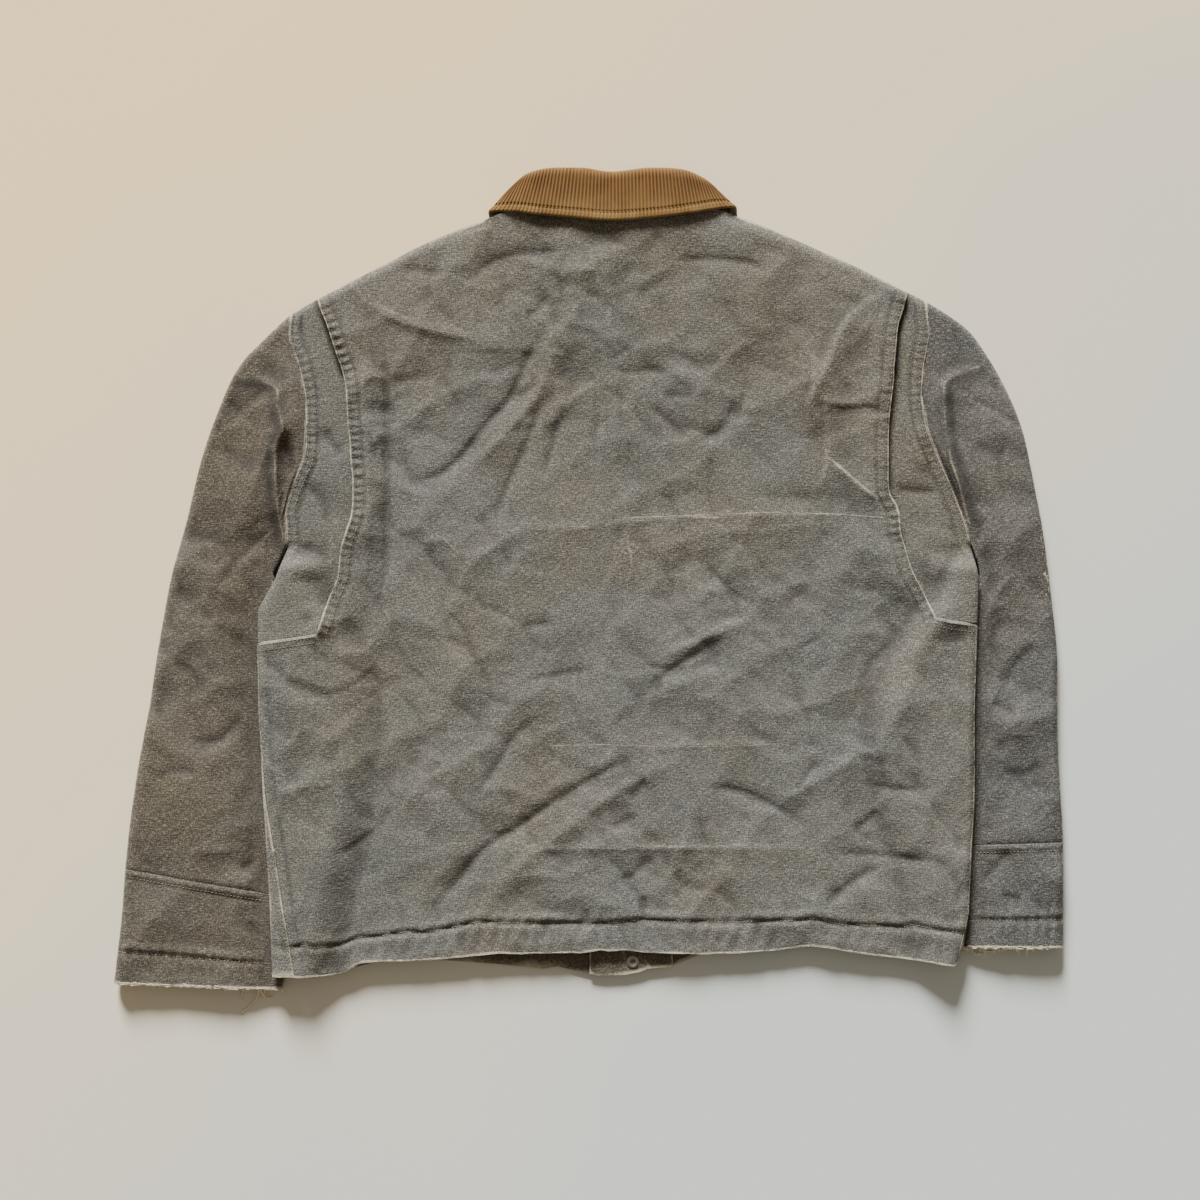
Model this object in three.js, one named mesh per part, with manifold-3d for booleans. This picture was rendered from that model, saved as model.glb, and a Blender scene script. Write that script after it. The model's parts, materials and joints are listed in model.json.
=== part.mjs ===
// A barn jacket of duck canvas with a corduroy collar, laid out flat with its back up.
// Millimetres. +X runs across the jacket, +Y from the hem to the collar, +Z up from the table.
// The wearer's left is on -X. The origin is under the middle of the whole, at table height.

import * as THREE from 'three';
import Module from 'manifold-3d';
import { mergeVertices } from 'three/addons/utils/BufferGeometryUtils.js';

// ---- driving dimensions -------------------------------------------------------------

const canvasWall = 2.2; // duck with its blanket backing
const corduroyWall = 1.6;
const underCollarWall = 1.2;
const seamGap = 0.3;
const foldRadius = 8; // how far in from a folded side the cloth reaches its full height
const backAir = 7; // air between the front's inside and the back's inside
const leastAir = 5.8; // air under the deepest folds of the back
const gussetAir = 4.8;
const sleeveLow = 9.5; // height of a sleeve where the body lies on it
const sleeveCrown = 4.5; // how much higher the open part of a sleeve lies
const bodyOverSleeve = 10.4; // underside of the body where it lies on a sleeve
const pleatRise = 5; // the pleat edges stand above the gussets
const hemWall = 3.4; // two layers of canvas, pressed
const pleatBand = 11; // width of the topstitched edge of a pleat
const pleatTuck = 22; // how far a gusset reaches in under the back
const notchLeft = -57; // where the gusset's foot meets the side
const notchRight = -40;
const cornerY = { left: -357, right: -344 }; // lower corners of the fronts
const underarmY = 29;
const studLine = 40; // x of the row of press studs
const studPitch = 113;
const studFoot = -345;
const studCount = 6;
const studCapRadius = 7.5;
const studRingRadius = 5.8;
const studHoleRadius = 2.4;
const placketLeft = 1;
const placketRight = 76;
const centreFront = 60; // where the left front's edge lies
const walePitch = 3.2; // corduroy, 8 wales to the inch
const waleHeight = 0.8;

// ---- outlines: short tables, one row for each section ---------------------------------

// Sides of the body below the underarm. seam: how far the side seam lies in from the edge.
const sides = [
  { y: 29, left: -271, right: 345, seam: 0.4 },
  { y: 1, left: -281, right: 351, seam: 0.4 },
  { y: -28, left: -297, right: 350, seam: 0.4 },
  { y: -57, left: -297, right: 349, seam: 0.4 },
  { y: -122, left: -296, right: 347, seam: 0.6 },
  { y: -200, left: -292, right: 347, seam: 2.6 },
  { y: -250, left: -288.5, right: 344, seam: 8 },
  { y: -300, left: -286, right: 342, seam: 13 },
  { y: -330, left: -285, right: 337, seam: 17 },
  { y: -358, left: -284, right: 327, seam: 21 },
];

// Armhole seams, from below the shoulder fold down to the underarm.
const armholes = [
  { y: 220, left: -270, right: 307 },
  { y: 193, left: -261, right: 302 },
  { y: 166, left: -255, right: 300 },
  { y: 134, left: -254, right: 305 },
  { y: 109, left: -256, right: 315 },
  { y: 85, left: -266, right: 326 },
  { y: 60, left: -273, right: 336 },
  { y: 29, left: -271, right: 345 },
];

// Folded edges of the back's two pleats, from the shoulder to the gusset's foot.
const pleats = [
  { y: 256, left: -244, right: 287 },
  { y: 212, left: -230, right: 277 },
  { y: 172, left: -218, right: 271 },
  { y: 125, left: -215, right: 269 },
  { y: 71, left: -212, right: 274 },
  { y: 42, left: -218, right: 281 },
  { y: 1, left: -225, right: 294 },
  { y: -34, left: -238, right: 311 },
  { y: -49, left: -243, right: 314 },
  { y: -360, left: -240, right: 300 },
];

// The shoulder folds run out from the neck to the armholes.
const shoulderLeft = [[-94, 323], [-120, 314], [-152, 300], [-188, 281], [-224, 263], [-244, 252.5], [-268, 239]];
const shoulderRight = [[131, 328], [172, 312], [208, 296], [244, 280], [280, 262], [287, 258.5], [304, 250.5]];

// Where each layer ends at the neck, between the two shoulder folds.
const backNeck = [[-94, 323], [-72, 331], [-35, 336], [21, 338], [80, 338], [106, 335], [131, 328]];
const frontNeck = [[-94, 323], [-84, 300], [-55, 270], [-15, 250], [21, 245], [58, 250], [95, 270], [123, 302], [131, 328]];

// Foot of the gussets, carried across the back between them as a line of no seam.
const gussetFoot = [[-297, -57], [-269, -53], [-243, -49], [311, -34], [325, -37], [350, -40]];

// Lower edges of the back and of the fronts.
const hems = [
  { x: -290, back: -357, front: -355 },
  { x: -233, back: -356, front: -352 },
  { x: -206, back: -346, front: -343 },
  { x: -170, back: -344, front: -342 },
  { x: -134, back: -342, front: -343 },
  { x: -80, back: -337, front: -347 },
  { x: -39, back: -337, front: -352 },
  { x: 10, back: -334, front: -358 },
  { x: 46, back: -336, front: -355 },
  { x: 73, back: -337, front: -350 },
  { x: 100, back: -338, front: -337 },
  { x: 172, back: -334, front: -330 },
  { x: 199, back: -330, front: -327 },
  { x: 235, back: -336, front: -331 },
  { x: 280, back: -341, front: -336 },
  { x: 335, back: -347, front: -343 },
];

// Cross sections of each sleeve, from its armhole to its cuff: the two ends of the flat
// section, and how much of the armhole's curve the section still has.
const sleeveSections = {
  left: [
    { outX: -268, outY: 239, inX: -271, inY: 29, curve: 1 },
    { outX: -294, outY: 214, inX: -276.8, inY: 15, curve: 0.85 },
    { outX: -314, outY: 192, inX: -283.4, inY: -2, curve: 0.6 },
    { outX: -331, outY: 157, inX: -277, inY: -20, curve: 0.4 },
    { outX: -347, outY: 112, inX: -262, inY: -38, curve: 0.25 },
    { outX: -361, outY: 55, inX: -244, inY: -66, curve: 0.12 },
    { outX: -376, outY: -1, inX: -236, inY: -98, curve: 0 },
    { outX: -386, outY: -55, inX: -234, inY: -136, curve: 0 },
    { outX: -395, outY: -113, inX: -236, inY: -172, curve: 0 },
    { outX: -405, outY: -167, inX: -242, inY: -210, curve: 0 },
    { outX: -412, outY: -215, inX: -250, inY: -250, curve: 0 },
    { outX: -417, outY: -260, inX: -259, inY: -288, curve: 0 },
    { outX: -421, outY: -312, inX: -267, inY: -330, curve: 0 },
    { outX: -427, outY: -364, inX: -276, inY: -370, curve: 0 },
  ],
  right: [
    { outX: 304, outY: 250.5, inX: 345, inY: 29, curve: 1 },
    { outX: 339, outY: 227, inX: 349.2, inY: 15, curve: 0.85 },
    { outX: 359, outY: 201, inX: 352.4, inY: -2, curve: 0.6 },
    { outX: 378, outY: 166, inX: 347, inY: -20, curve: 0.4 },
    { outX: 391, outY: 132, inX: 333, inY: -38, curve: 0.25 },
    { outX: 401, outY: 85, inX: 316, inY: -60, curve: 0.12 },
    { outX: 410, outY: 35, inX: 306, inY: -84, curve: 0 },
    { outX: 417, outY: -20, inX: 299, inY: -110, curve: 0 },
    { outX: 422, outY: -75, inX: 296, inY: -140, curve: 0 },
    { outX: 422, outY: -125, inX: 299, inY: -172, curve: 0 },
    { outX: 424, outY: -182, inX: 306, inY: -206, curve: 0 },
    { outX: 427, outY: -236, inX: 316, inY: -240, curve: 0 },
    { outX: 427, outY: -285, inX: 327, inY: -288, curve: 0 },
    { outX: 427, outY: -332, inX: 336, inY: -332, curve: 0 },
  ],
};
const lowerSleeveFrom = 11; // the section where the lower sleeve is sewn on

// The collar's fall: roll is the folded top, edge the free edge, turn the angle that its
// outside has turned from facing up. foot: the neck seam of the under collar. The wings at
// the two ends lie under the fronts.
const fallSections = [
  { rollX: 8, rollY: 264, rollZ: 0.4, edgeX: -25, edgeY: 222, edgeZ: 0.4, turn: 180, footX: 5, footY: 249.5, footZ: 7.6 },
  { rollX: -24, rollY: 290, rollZ: 0.4, edgeX: -63, edgeY: 258, edgeZ: 0.4, turn: 180, footX: -40, footY: 266, footZ: 7.6 },
  { rollX: -58, rollY: 331, rollZ: 0.4, edgeX: -84, edgeY: 303, edgeZ: 0.4, turn: 180, footX: -82, footY: 304, footZ: 7.6 },
  { rollX: -67, rollY: 350, rollZ: 4.5, edgeX: -90, edgeY: 325, edgeZ: 3.4, turn: 125, footX: -86, footY: 327, footZ: 7 },
  { rollX: -65, rollY: 358, rollZ: 11, edgeX: -89, edgeY: 331, edgeZ: 11, turn: 60, footX: -83, footY: 332, footZ: 9 },
  { rollX: -55, rollY: 365, rollZ: 15, edgeX: -68, edgeY: 330, edgeZ: 17.5, turn: 10, footX: -66, footY: 335.6, footZ: 13 },
  { rollX: -36, rollY: 369.5, rollZ: 16, edgeX: -44, edgeY: 327, edgeZ: 19, turn: 0, footX: -40, footY: 338.6, footZ: 14.2 },
  { rollX: -8, rollY: 370, rollZ: 16, edgeX: -12, edgeY: 324, edgeZ: 20, turn: 0, footX: -10, footY: 340.4, footZ: 14.2 },
  { rollX: 21, rollY: 366.5, rollZ: 15.5, edgeX: 21, edgeY: 321.5, edgeZ: 20.5, turn: 0, footX: 21, footY: 341, footZ: 14.2 },
  { rollX: 56, rollY: 370, rollZ: 16, edgeX: 58, edgeY: 324, edgeZ: 20, turn: 0, footX: 56, footY: 340.8, footZ: 14.2 },
  { rollX: 84, rollY: 368.5, rollZ: 16, edgeX: 90, edgeY: 328, edgeZ: 19, turn: 0, footX: 84, footY: 340, footZ: 14.2 },
  { rollX: 102, rollY: 362, rollZ: 15, edgeX: 113, edgeY: 332, edgeZ: 17.5, turn: -10, footX: 103, footY: 338.6, footZ: 13 },
  { rollX: 111, rollY: 356, rollZ: 11, edgeX: 132, edgeY: 335, edgeZ: 11, turn: -60, footX: 124, footY: 336.5, footZ: 9 },
  { rollX: 113, rollY: 348, rollZ: 4.5, edgeX: 134.5, edgeY: 328, edgeZ: 1.3, turn: -125, footX: 124.5, footY: 333, footZ: 7 },
  { rollX: 104, rollY: 330, rollZ: 0.4, edgeX: 126, edgeY: 304, edgeZ: 0.4, turn: -180, footX: 121, footY: 304, footZ: 7.6 },
  { rollX: 68, rollY: 290, rollZ: 0.4, edgeX: 107, edgeY: 258, edgeZ: 0.4, turn: -180, footX: 82, footY: 266, footZ: 7.6 },
  { rollX: 36, rollY: 264, rollZ: 0.4, edgeX: 69, edgeY: 222, edgeZ: 0.4, turn: -180, footX: 38, footY: 249.5, footZ: 7.6 },
];
const wingLift = 3; // the fronts rise this far over the collar's wings
const wingZone = { middle: 21, reach: 125, fade: 45, from: 185, over: 30 };

// ---- folds ------------------------------------------------------------------------------

// One row for each large fold. rise: height of its crest, below zero for a trough. left and
// right: its width to either side of its path, seen along the path.
const backFolds = [
  { rise: 6, left: 28, right: 7, path: [[-200, 249], [-134, 230], [-94, 218], [-30, 212]] },
  { rise: -3.5, left: 10, right: 10, path: [[-114, 264], [-80, 286], [-44, 294]] },
  { rise: -4, left: 12, right: 9, path: [[-36, 234], [-59, 188], [-92, 139], [-131, 96], [-171, 86]] },
  { rise: 4, left: 14, right: 14, path: [[-12, 222], [-40, 178], [-76, 118], [-104, 80]] },
  { rise: -2.5, left: 10, right: 8, path: [[-39, 169], [-57, 121], [-88, 49]] },
  { rise: -2.5, left: 9, right: 8, path: [[-17, 166], [-31, 127], [-44, 86]] },
  { rise: 7, left: 30, right: 8, path: [[268, 258], [246, 245], [228, 223], [207, 176], [199, 157]] },
  { rise: 4, left: 22, right: 6, path: [[213, 171], [216, 110], [198, 59]] },
  { rise: -3, left: 9, right: 9, path: [[73, 280], [133, 286], [167, 275]] },
  { rise: 4, left: 14, right: 10, path: [[53, -78], [96, -57], [154, -34]] },
  { rise: -4, left: 10, right: 9, path: [[55, -152], [-16, -191], [-101, -249], [-153, -315]] },
  { rise: 3.5, left: 12, right: 12, path: [[75, -164], [-2, -205], [-84, -262], [-122, -306]] },
  { rise: -2.5, left: 8, right: 8, path: [[-43, -122], [-84, -170], [-108, -201]] },
  { rise: -3, left: 9, right: 9, path: [[99, -185], [136, -191], [195, -221]] },
  { rise: -2.5, left: 9, right: 9, path: [[243, -184], [312, -187]] },
  { rise: -4, left: 8, right: 9, path: [[270, -253], [236, -274], [208, -298]] },
  { rise: 2.5, left: 8, right: 7, path: [[-80, -247], [54, -241], [222, -241]] },
  { rise: -2.5, left: 9, right: 9, path: [[219, -250], [270, -252], [319, -257]] },
  { rise: 2, left: 8, right: 8, path: [[-98, 44], [63, 55], [266, 60]] },
  { rise: -3.5, left: 9, right: 9, path: [[-186, 224], [-183, 120], [-184, 20], [-190, -40]] },
];
const gussetFolds = [
  { rise: -2.5, left: 9, right: 9, path: [[-262, 28], [-232, 20]] },
  { rise: -4, left: 8, right: 9, path: [[333, 31], [321, 8], [307, -19]] },
  { rise: -2.5, left: 9, right: 9, path: [[270, 83], [316, 78]] },
];
const sleeveFolds = [
  { rise: 5, left: 16, right: 6, path: [[-281, 174], [-277, 143], [-279, 80], [-276, 40]] },
  { rise: -3, left: 10, right: 10, path: [[-290, 42], [-318, 13], [-338, -12]] },
  { rise: -3, left: 10, right: 10, path: [[-359, -145], [-330, -146], [-309, -120]] },
  { rise: -3, left: 10, right: 10, path: [[-305, -127], [-302, -199]] },
  { rise: 5, left: 6, right: 16, path: [[321, 178], [323, 134], [323, 112], [342, 66]] },
  { rise: 3, left: 12, right: 10, path: [[356, -50], [370, -10], [388, 8]] },
  { rise: -3, left: 10, right: 9, path: [[363, -111], [390, -124]] },
  { rise: -3, left: 10, right: 10, path: [[379, -246], [358, -275]] },
];

// ---- reading the tables -------------------------------------------------------------------

const clamp = (value, low, high) => Math.min(high, Math.max(low, value));
const mix = (from, to, share) => from + (to - from) * share;

function smooth(value) {
  const share = clamp(value, 0, 1);
  return share * share * (3 - 2 * share);
}

// A smooth curve through one column of a table, read at a fractional row number.
function readAtRow(rows, column, place) {
  const last = rows.length - 1;
  const at = clamp(place, 0, last);
  const row = Math.min(last - 1, Math.floor(at));
  const t = at - row;
  const value = (index) => rows[clamp(index, 0, last)][column];
  const slopeFrom = (value(row + 1) - value(row - 1)) / 2;
  const slopeTo = (value(row + 2) - value(row)) / 2;
  const h01 = t * t * (3 - 2 * t);
  const h10 = t * (1 - t) * (1 - t);
  const h11 = t * t * (t - 1);
  return value(row) * (1 - h01) + value(row + 1) * h01 + slopeFrom * h10 + slopeTo * h11;
}

// The straight-line value of a column between the rows on either side of a place.
function readTable(rows, key, column, at) {
  const falling = rows[0][key] > rows[rows.length - 1][key];
  let row = 0;
  while (row < rows.length - 2 && (falling ? rows[row + 1][key] > at : rows[row + 1][key] < at)) row += 1;
  const share = clamp((at - rows[row][key]) / (rows[row + 1][key] - rows[row][key]), 0, 1);
  return mix(rows[row][column], rows[row + 1][column], share);
}

// Height of a line of [x, y] points at a given x.
function lineAt(path, x) {
  return readTable(path, 0, 1, x);
}

// Distance to a path, which side of it a place lies on, and how far along it that is (0-1).
function nearest(path, x, y) {
  let best = { distance: Infinity, side: 1, along: 0 };
  for (let i = 0; i < path.length - 1; i += 1) {
    const [ax, ay] = path[i];
    const dx = path[i + 1][0] - ax;
    const dy = path[i + 1][1] - ay;
    const share = clamp(((x - ax) * dx + (y - ay) * dy) / (dx * dx + dy * dy), 0, 1);
    const distance = Math.hypot(x - ax - dx * share, y - ay - dy * share);
    if (distance < best.distance) {
      const side = dx * (y - ay) - dy * (x - ax) >= 0 ? 1 : -1;
      best = { distance, side, along: (i + share) / (path.length - 1) };
    }
  }
  return best;
}

// A place and a direction along a path, at a share of its length.
function alongPath(path, share) {
  const lengths = path.slice(1).map((point, i) => Math.hypot(point[0] - path[i][0], point[1] - path[i][1]));
  let rest = clamp(share, 0, 1) * lengths.reduce((sum, length) => sum + length, 0);
  let i = 0;
  while (i < lengths.length - 1 && rest > lengths[i]) {
    rest -= lengths[i];
    i += 1;
  }
  return [0, 1].map((axis) => mix(path[i][axis], path[i + 1][axis], rest / lengths[i]));
}

// Height that a set of folds gives a place. Each fades out at both ends of its path.
function foldHeight(folds, x, y) {
  return folds.reduce((sum, fold) => {
    const { distance, side, along } = nearest(fold.path, x, y);
    const width = side > 0 ? fold.left : fold.right;
    const fade = smooth(Math.min(along, 1 - along) * 5 + 0.15);
    return sum + fold.rise * fade * Math.exp(-((distance / width) ** 2));
  }, 0);
}

// ---- how high each layer lies -----------------------------------------------------------

const bodyMiddle = [21, -20];
const sideLines = ['left', 'right'].map((side) => sides.map((row) => [row[side], row.y]));
const silhouettes = [shoulderLeft, shoulderRight, ...sideLines];
const inwardOf = { left: 1, right: -1 };
const hiddenFold = Object.fromEntries(['left', 'right'].map((side) => (
  [side, sleeveSections[side].map((row) => [row.inY, row.inX]).reverse()]
)));

// Height of the body's underside where it passes over a sleeve.
function lift(x, y) {
  const overSleeve = ['left', 'right'].map((side) => {
    const fold = lineAt(hiddenFold[side], y);
    return smooth(((fold - x) * inwardOf[side] + 50) / 36);
  });
  return bodyOverSleeve * smooth((underarmY - y) / 22) * Math.max(...overSleeve);
}

// How much the fronts rise further, over the collar's wings.
function overWings(x, y) {
  const besideNeck = 1 - smooth((Math.abs(x - wingZone.middle) - wingZone.reach) / wingZone.fade);
  return wingLift * smooth((y - wingZone.from) / wingZone.over) * besideNeck * smooth((toFold(x, y) - 2) / 9);
}

const toFold = (x, y) => Math.min(...silhouettes.map((line) => nearest(line, x, y).distance));

// 0 on a folded edge, 1 from foldRadius in, along a quarter circle.
function foldShape(distance) {
  const left = 1 - Math.min(distance, foldRadius) / foldRadius;
  return Math.sqrt(1 - left * left);
}

function gussetTop(x, y) {
  return lift(x, y) + 2 * canvasWall + gussetAir + foldHeight(gussetFolds, x, y);
}

function backTop(x, y) {
  const plain = lift(x, y) + 0.6 * overWings(x, y) + 2 * canvasWall + backAir;
  const fromPleat = Math.min(
    Math.abs(x - readTable(pleats, 'y', 'left', y)),
    Math.abs(x - readTable(pleats, 'y', 'right', y)),
  );
  const byPleat = 1 - smooth((fromPleat - 8) / 36);
  const besideGusset = smooth((y - notchLeft) / 26);
  const raised = pleatRise * byPleat * besideGusset;
  const height = plain + raised + foldHeight(backFolds, x, y);
  const clear = fromPleat < pleatTuck + 6 ? gussetTop(x, y) + canvasWall + 0.6 : 0;
  return Math.max(height, y > notchLeft - 8 ? clear : 0, lift(x, y) + 2 * canvasWall + leastAir);
}

// The body's upper layers round down and its under layer rounds up to meet at its folds.
const foldMiddle = (2 * canvasWall + gussetAir) / 2;

function upperZ(top, x, y) {
  const middle = lift(x, y) + foldMiddle + seamGap / 2;
  return middle + (top - middle) * foldShape(toFold(x, y));
}

function underZ(x, y) {
  const bottom = lift(x, y) + overWings(x, y);
  const middle = lift(x, y) + foldMiddle - seamGap / 2;
  return middle - (middle - bottom) * foldShape(toFold(x, y));
}

// Which way a layer's outer face looks: level on a folded edge, square to the cloth elsewhere.
function faceDirection(height, x, y, sign) {
  const step = 0.25;
  if (toFold(x, y) <= step) {
    const line = silhouettes.reduce((a, b) => (nearest(a, x, y).distance <= nearest(b, x, y).distance ? a : b));
    const { along } = nearest(line, x, y);
    const i = Math.min(line.length - 2, Math.floor(along * (line.length - 1)));
    const edge = new THREE.Vector3(line[i + 1][1] - line[i][1], line[i][0] - line[i + 1][0], 0).normalize();
    const outward = edge.x * (x - bodyMiddle[0]) + edge.y * (y - bodyMiddle[1]) > 0 ? 1 : -1;
    return edge.multiplyScalar(outward);
  }
  const slopeX = (height(x + step, y) - height(x - step, y)) / (2 * step);
  const slopeY = (height(x, y + step) - height(x, y - step)) / (2 * step);
  return new THREE.Vector3(-slopeX, -slopeY, 1).normalize().multiplyScalar(sign);
}

// ---- making a closed wall from a grid of points --------------------------------------------

// outside(row, column) gives [x, y, z] on the face that shows. up is 1 where columns running
// right and rows running down give a face that looks at +Z, and -1 for the other way round.
// keep(row, column) says whether that cell of the grid is there. round joins the last column
// to the first. direction(row, column) may give the way the face looks at a point.
function clothWall({ rows, columns, outside, thickness, up = 1, keep = () => true, round = false, direction }) {
  const across = round ? columns : columns - 1;
  const has = (r, c) => r >= 0 && r < rows - 1 && (round || (c >= 0 && c < across)) && keep(r, (c + columns) % columns);
  const wrap = (c) => (round ? (c + columns) % columns : c);
  const points = [];
  for (let r = 0; r < rows; r += 1) {
    for (let c = 0; c < columns; c += 1) points.push(new THREE.Vector3(...outside(r, c)));
  }
  const point = (r, c) => points[r * columns + wrap(c)];
  const rowLink = (r, c) => has(r, c) || has(r, c - 1);
  const columnLink = (r, c) => has(r, c) || has(r - 1, c);
  const step = (from, to) => to.clone().sub(from);

  function normal(r, c) {
    const down = new THREE.Vector3();
    if (rowLink(r, c)) down.add(step(point(r, c), point(r + 1, c)).normalize());
    if (rowLink(r - 1, c)) down.add(step(point(r - 1, c), point(r, c)).normalize());
    const right = new THREE.Vector3();
    if (columnLink(r, c)) right.add(step(point(r, c), point(r, c + 1)).normalize());
    if (columnLink(r, c - 1)) right.add(step(point(r, c - 1), point(r, c)).normalize());
    return down.cross(right).normalize().multiplyScalar(up);
  }

  const vertices = [];
  const number = new Map();
  const used = (r, c) => has(r, c) || has(r - 1, c) || has(r, c - 1) || has(r - 1, c - 1);
  for (let r = 0; r < rows; r += 1) {
    for (let c = 0; c < columns; c += 1) {
      if (used(r, c)) {
        const out = point(r, c);
        number.set(r * columns + c, vertices.length / 6);
        const facing = direction ? direction(r, c) : normal(r, c);
        const inner = out.clone().addScaledVector(facing, -thickness(r, c));
        vertices.push(out.x, out.y, out.z, inner.x, inner.y, inner.z);
      }
    }
  }
  const outer = (r, c) => number.get(r * columns + wrap(c)) * 2;
  const inner = (r, c) => outer(r, c) + 1;
  const faces = [];
  const add = (a, b, c) => faces.push(...(up > 0 ? [a, b, c] : [a, c, b]));
  const rimAlong = (r1, c1, r2, c2) => {
    add(outer(r2, c2), outer(r1, c1), inner(r1, c1));
    add(outer(r2, c2), inner(r1, c1), inner(r2, c2));
  };
  for (let r = 0; r < rows - 1; r += 1) {
    for (let c = 0; c < across; c += 1) {
      if (has(r, c)) {
        add(outer(r, c), outer(r + 1, c), outer(r + 1, c + 1));
        add(outer(r, c), outer(r + 1, c + 1), outer(r, c + 1));
        add(inner(r, c), inner(r + 1, c + 1), inner(r + 1, c));
        add(inner(r, c), inner(r, c + 1), inner(r + 1, c + 1));
        if (!has(r, c - 1)) rimAlong(r, c, r + 1, c);
        if (!has(r + 1, c)) rimAlong(r + 1, c, r + 1, c + 1);
        if (!has(r, c + 1)) rimAlong(r + 1, c + 1, r, c + 1);
        if (!has(r - 1, c)) rimAlong(r, c + 1, r, c);
      }
    }
  }
  const geometry = new THREE.BufferGeometry();
  geometry.setAttribute('position', new THREE.Float32BufferAttribute(vertices, 3));
  geometry.setIndex(faces);
  return geometry;
}

// ---- shared stations ------------------------------------------------------------------------

// Samples along an armhole as shares of its length, close together at both ends, where the
// cloth rounds over. Gusset, front and sleeve all use them, so their seams run side by side.
const armholeShares = [0, 0.005, 0.017, 0.04, 0.15, 0.28, 0.42, 0.56, 0.7, 0.84, 0.96, 0.983, 0.995, 1];
const fromUnderarm = [15, 1, -14, -28, -57]; // rows beside the gusset, below the underarm
const hemShare = 0.91; // where the hem's stitching lies, of the way down the side
const belowNotch = [0, 0.07, 0.15, 0.24, 0.33, 0.42, 0.51, 0.6, 0.69, 0.78, 0.86, 0.895, hemShare, 0.925, 1];
const edgeSteps = [0, 1, 3.5, 8, 20, 31, 42, 53, 66, 84]; // a front's columns, in from its side

const shoulderEnd = { left: shoulderLeft[shoulderLeft.length - 1], right: shoulderRight[shoulderRight.length - 1] };
const armholeLine = (side) => [shoulderEnd[side], ...armholes.map((row) => [row[side], row.y])];
const hemAt = (layer, x) => readTable(hems, 'x', layer, x);
// How far in from the edge the left side seam's upper piece starts. On the right the seam
// lies on the fold itself.
function seamInset(side, y) {
  if (side === 'right') return 0;
  const seam = readTable(sides, 'y', 'seam', y);
  return seam + 0.12 + (seamGap - 0.12) * smooth(seam / 6);
}

// How far down between two lines a row lies, for a front or a gusset: its shares follow the
// armhole's samples first and the side's rows after them.
function sideRows(side, lowest) {
  const armhole = armholeShares.map((share) => alongPath(armholeLine(side), share));
  const below = lowest.map((y) => [readTable(sides, 'y', side, y), y]);
  return [...armhole, ...below];
}

const shoulderAt = (side, x) => lineAt(side === 'left' ? [...shoulderLeft].reverse() : shoulderRight, x);

// ---- the back ----------------------------------------------------------------------------------

function backTopLine(x) {
  if (x < backNeck[0][0]) return shoulderAt('left', x);
  if (x > backNeck[backNeck.length - 1][0]) return shoulderAt('right', x);
  return lineAt(backNeck, x);
}

// The back's grid: side columns only from the gusset's foot down, the middle all the way.
function backPanel() {
  const upper = [0, 0.003, 0.011, 0.026, 0.08, 0.14, 0.2, 0.26, 0.325, 0.39, 0.46, 0.53, 0.6, 0.68, 0.76, 0.84,
    0.92, 1];
  const middleColumns = 27;
  const sideSteps = [0, 0.02, 0.07, 0.16, 0.55, 1];
  const sideCells = sideSteps.length - 1;
  const rows = upper.length + belowNotch.length - 1;
  const columns = middleColumns + 1 + 2 * sideCells;
  const notchRow = upper.length - 1;
  const firstMiddle = sideCells;
  const lastMiddle = sideCells + middleColumns;
  const middleShare = (c) => (c - firstMiddle) / middleColumns;

  function xAt(c, y) {
    const pleatLeft = readTable(pleats, 'y', 'left', y);
    const pleatRight = readTable(pleats, 'y', 'right', y);
    if (c < firstMiddle) {
      return mix(readTable(sides, 'y', 'left', y) + seamInset('left', y), pleatLeft, sideSteps[c]);
    }
    if (c > lastMiddle) return mix(readTable(sides, 'y', 'right', y), pleatRight, sideSteps[columns - 1 - c]);
    if (c === firstMiddle) return pleatLeft;
    if (c === lastMiddle) return pleatRight;
    // The outermost columns keep to the stitched band of the pleat.
    const band = pleatBand / (pleatRight - pleatLeft);
    const share = (c - firstMiddle - 1) / (middleColumns - 2);
    return mix(pleatLeft, pleatRight, mix(band, 1 - band, share));
  }

  function place(r, c) {
    let x = mix(-240, 290, clamp(middleShare(c), -0.1, 1.1));
    let y = 0;
    for (let pass = 0; pass < 6; pass += 1) {
      y = r <= notchRow
        ? mix(backTopLine(x), lineAt(gussetFoot, x), upper[r])
        : mix(lineAt(gussetFoot, x), hemAt('back', x), belowNotch[r - notchRow]);
      x = xAt(c, y);
    }
    return [x, y];
  }

  const height = (groove) => (x, y) => upperZ(backTop(x, y) - groove, x, y);
  const grooveAt = (r) => (r - notchRow === belowNotch.indexOf(hemShare) ? 1 : 0);
  const outside = (r, c) => {
    const [x, y] = place(r, c);
    return [x, y, height(grooveAt(r))(x, y)];
  };
  const direction = (r, c) => faceDirection(height(grooveAt(r)), ...place(r, c), 1);
  const thickness = (r, c) => {
    const inHem = r - notchRow >= belowNotch.indexOf(hemShare);
    return inHem ? hemWall : canvasWall;
  };
  const keep = (r, c) => r >= notchRow || (c >= firstMiddle && c < lastMiddle);
  return clothWall({ rows, columns, outside, thickness, keep, direction });
}

// ---- the gussets ----------------------------------------------------------------------------------

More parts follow.
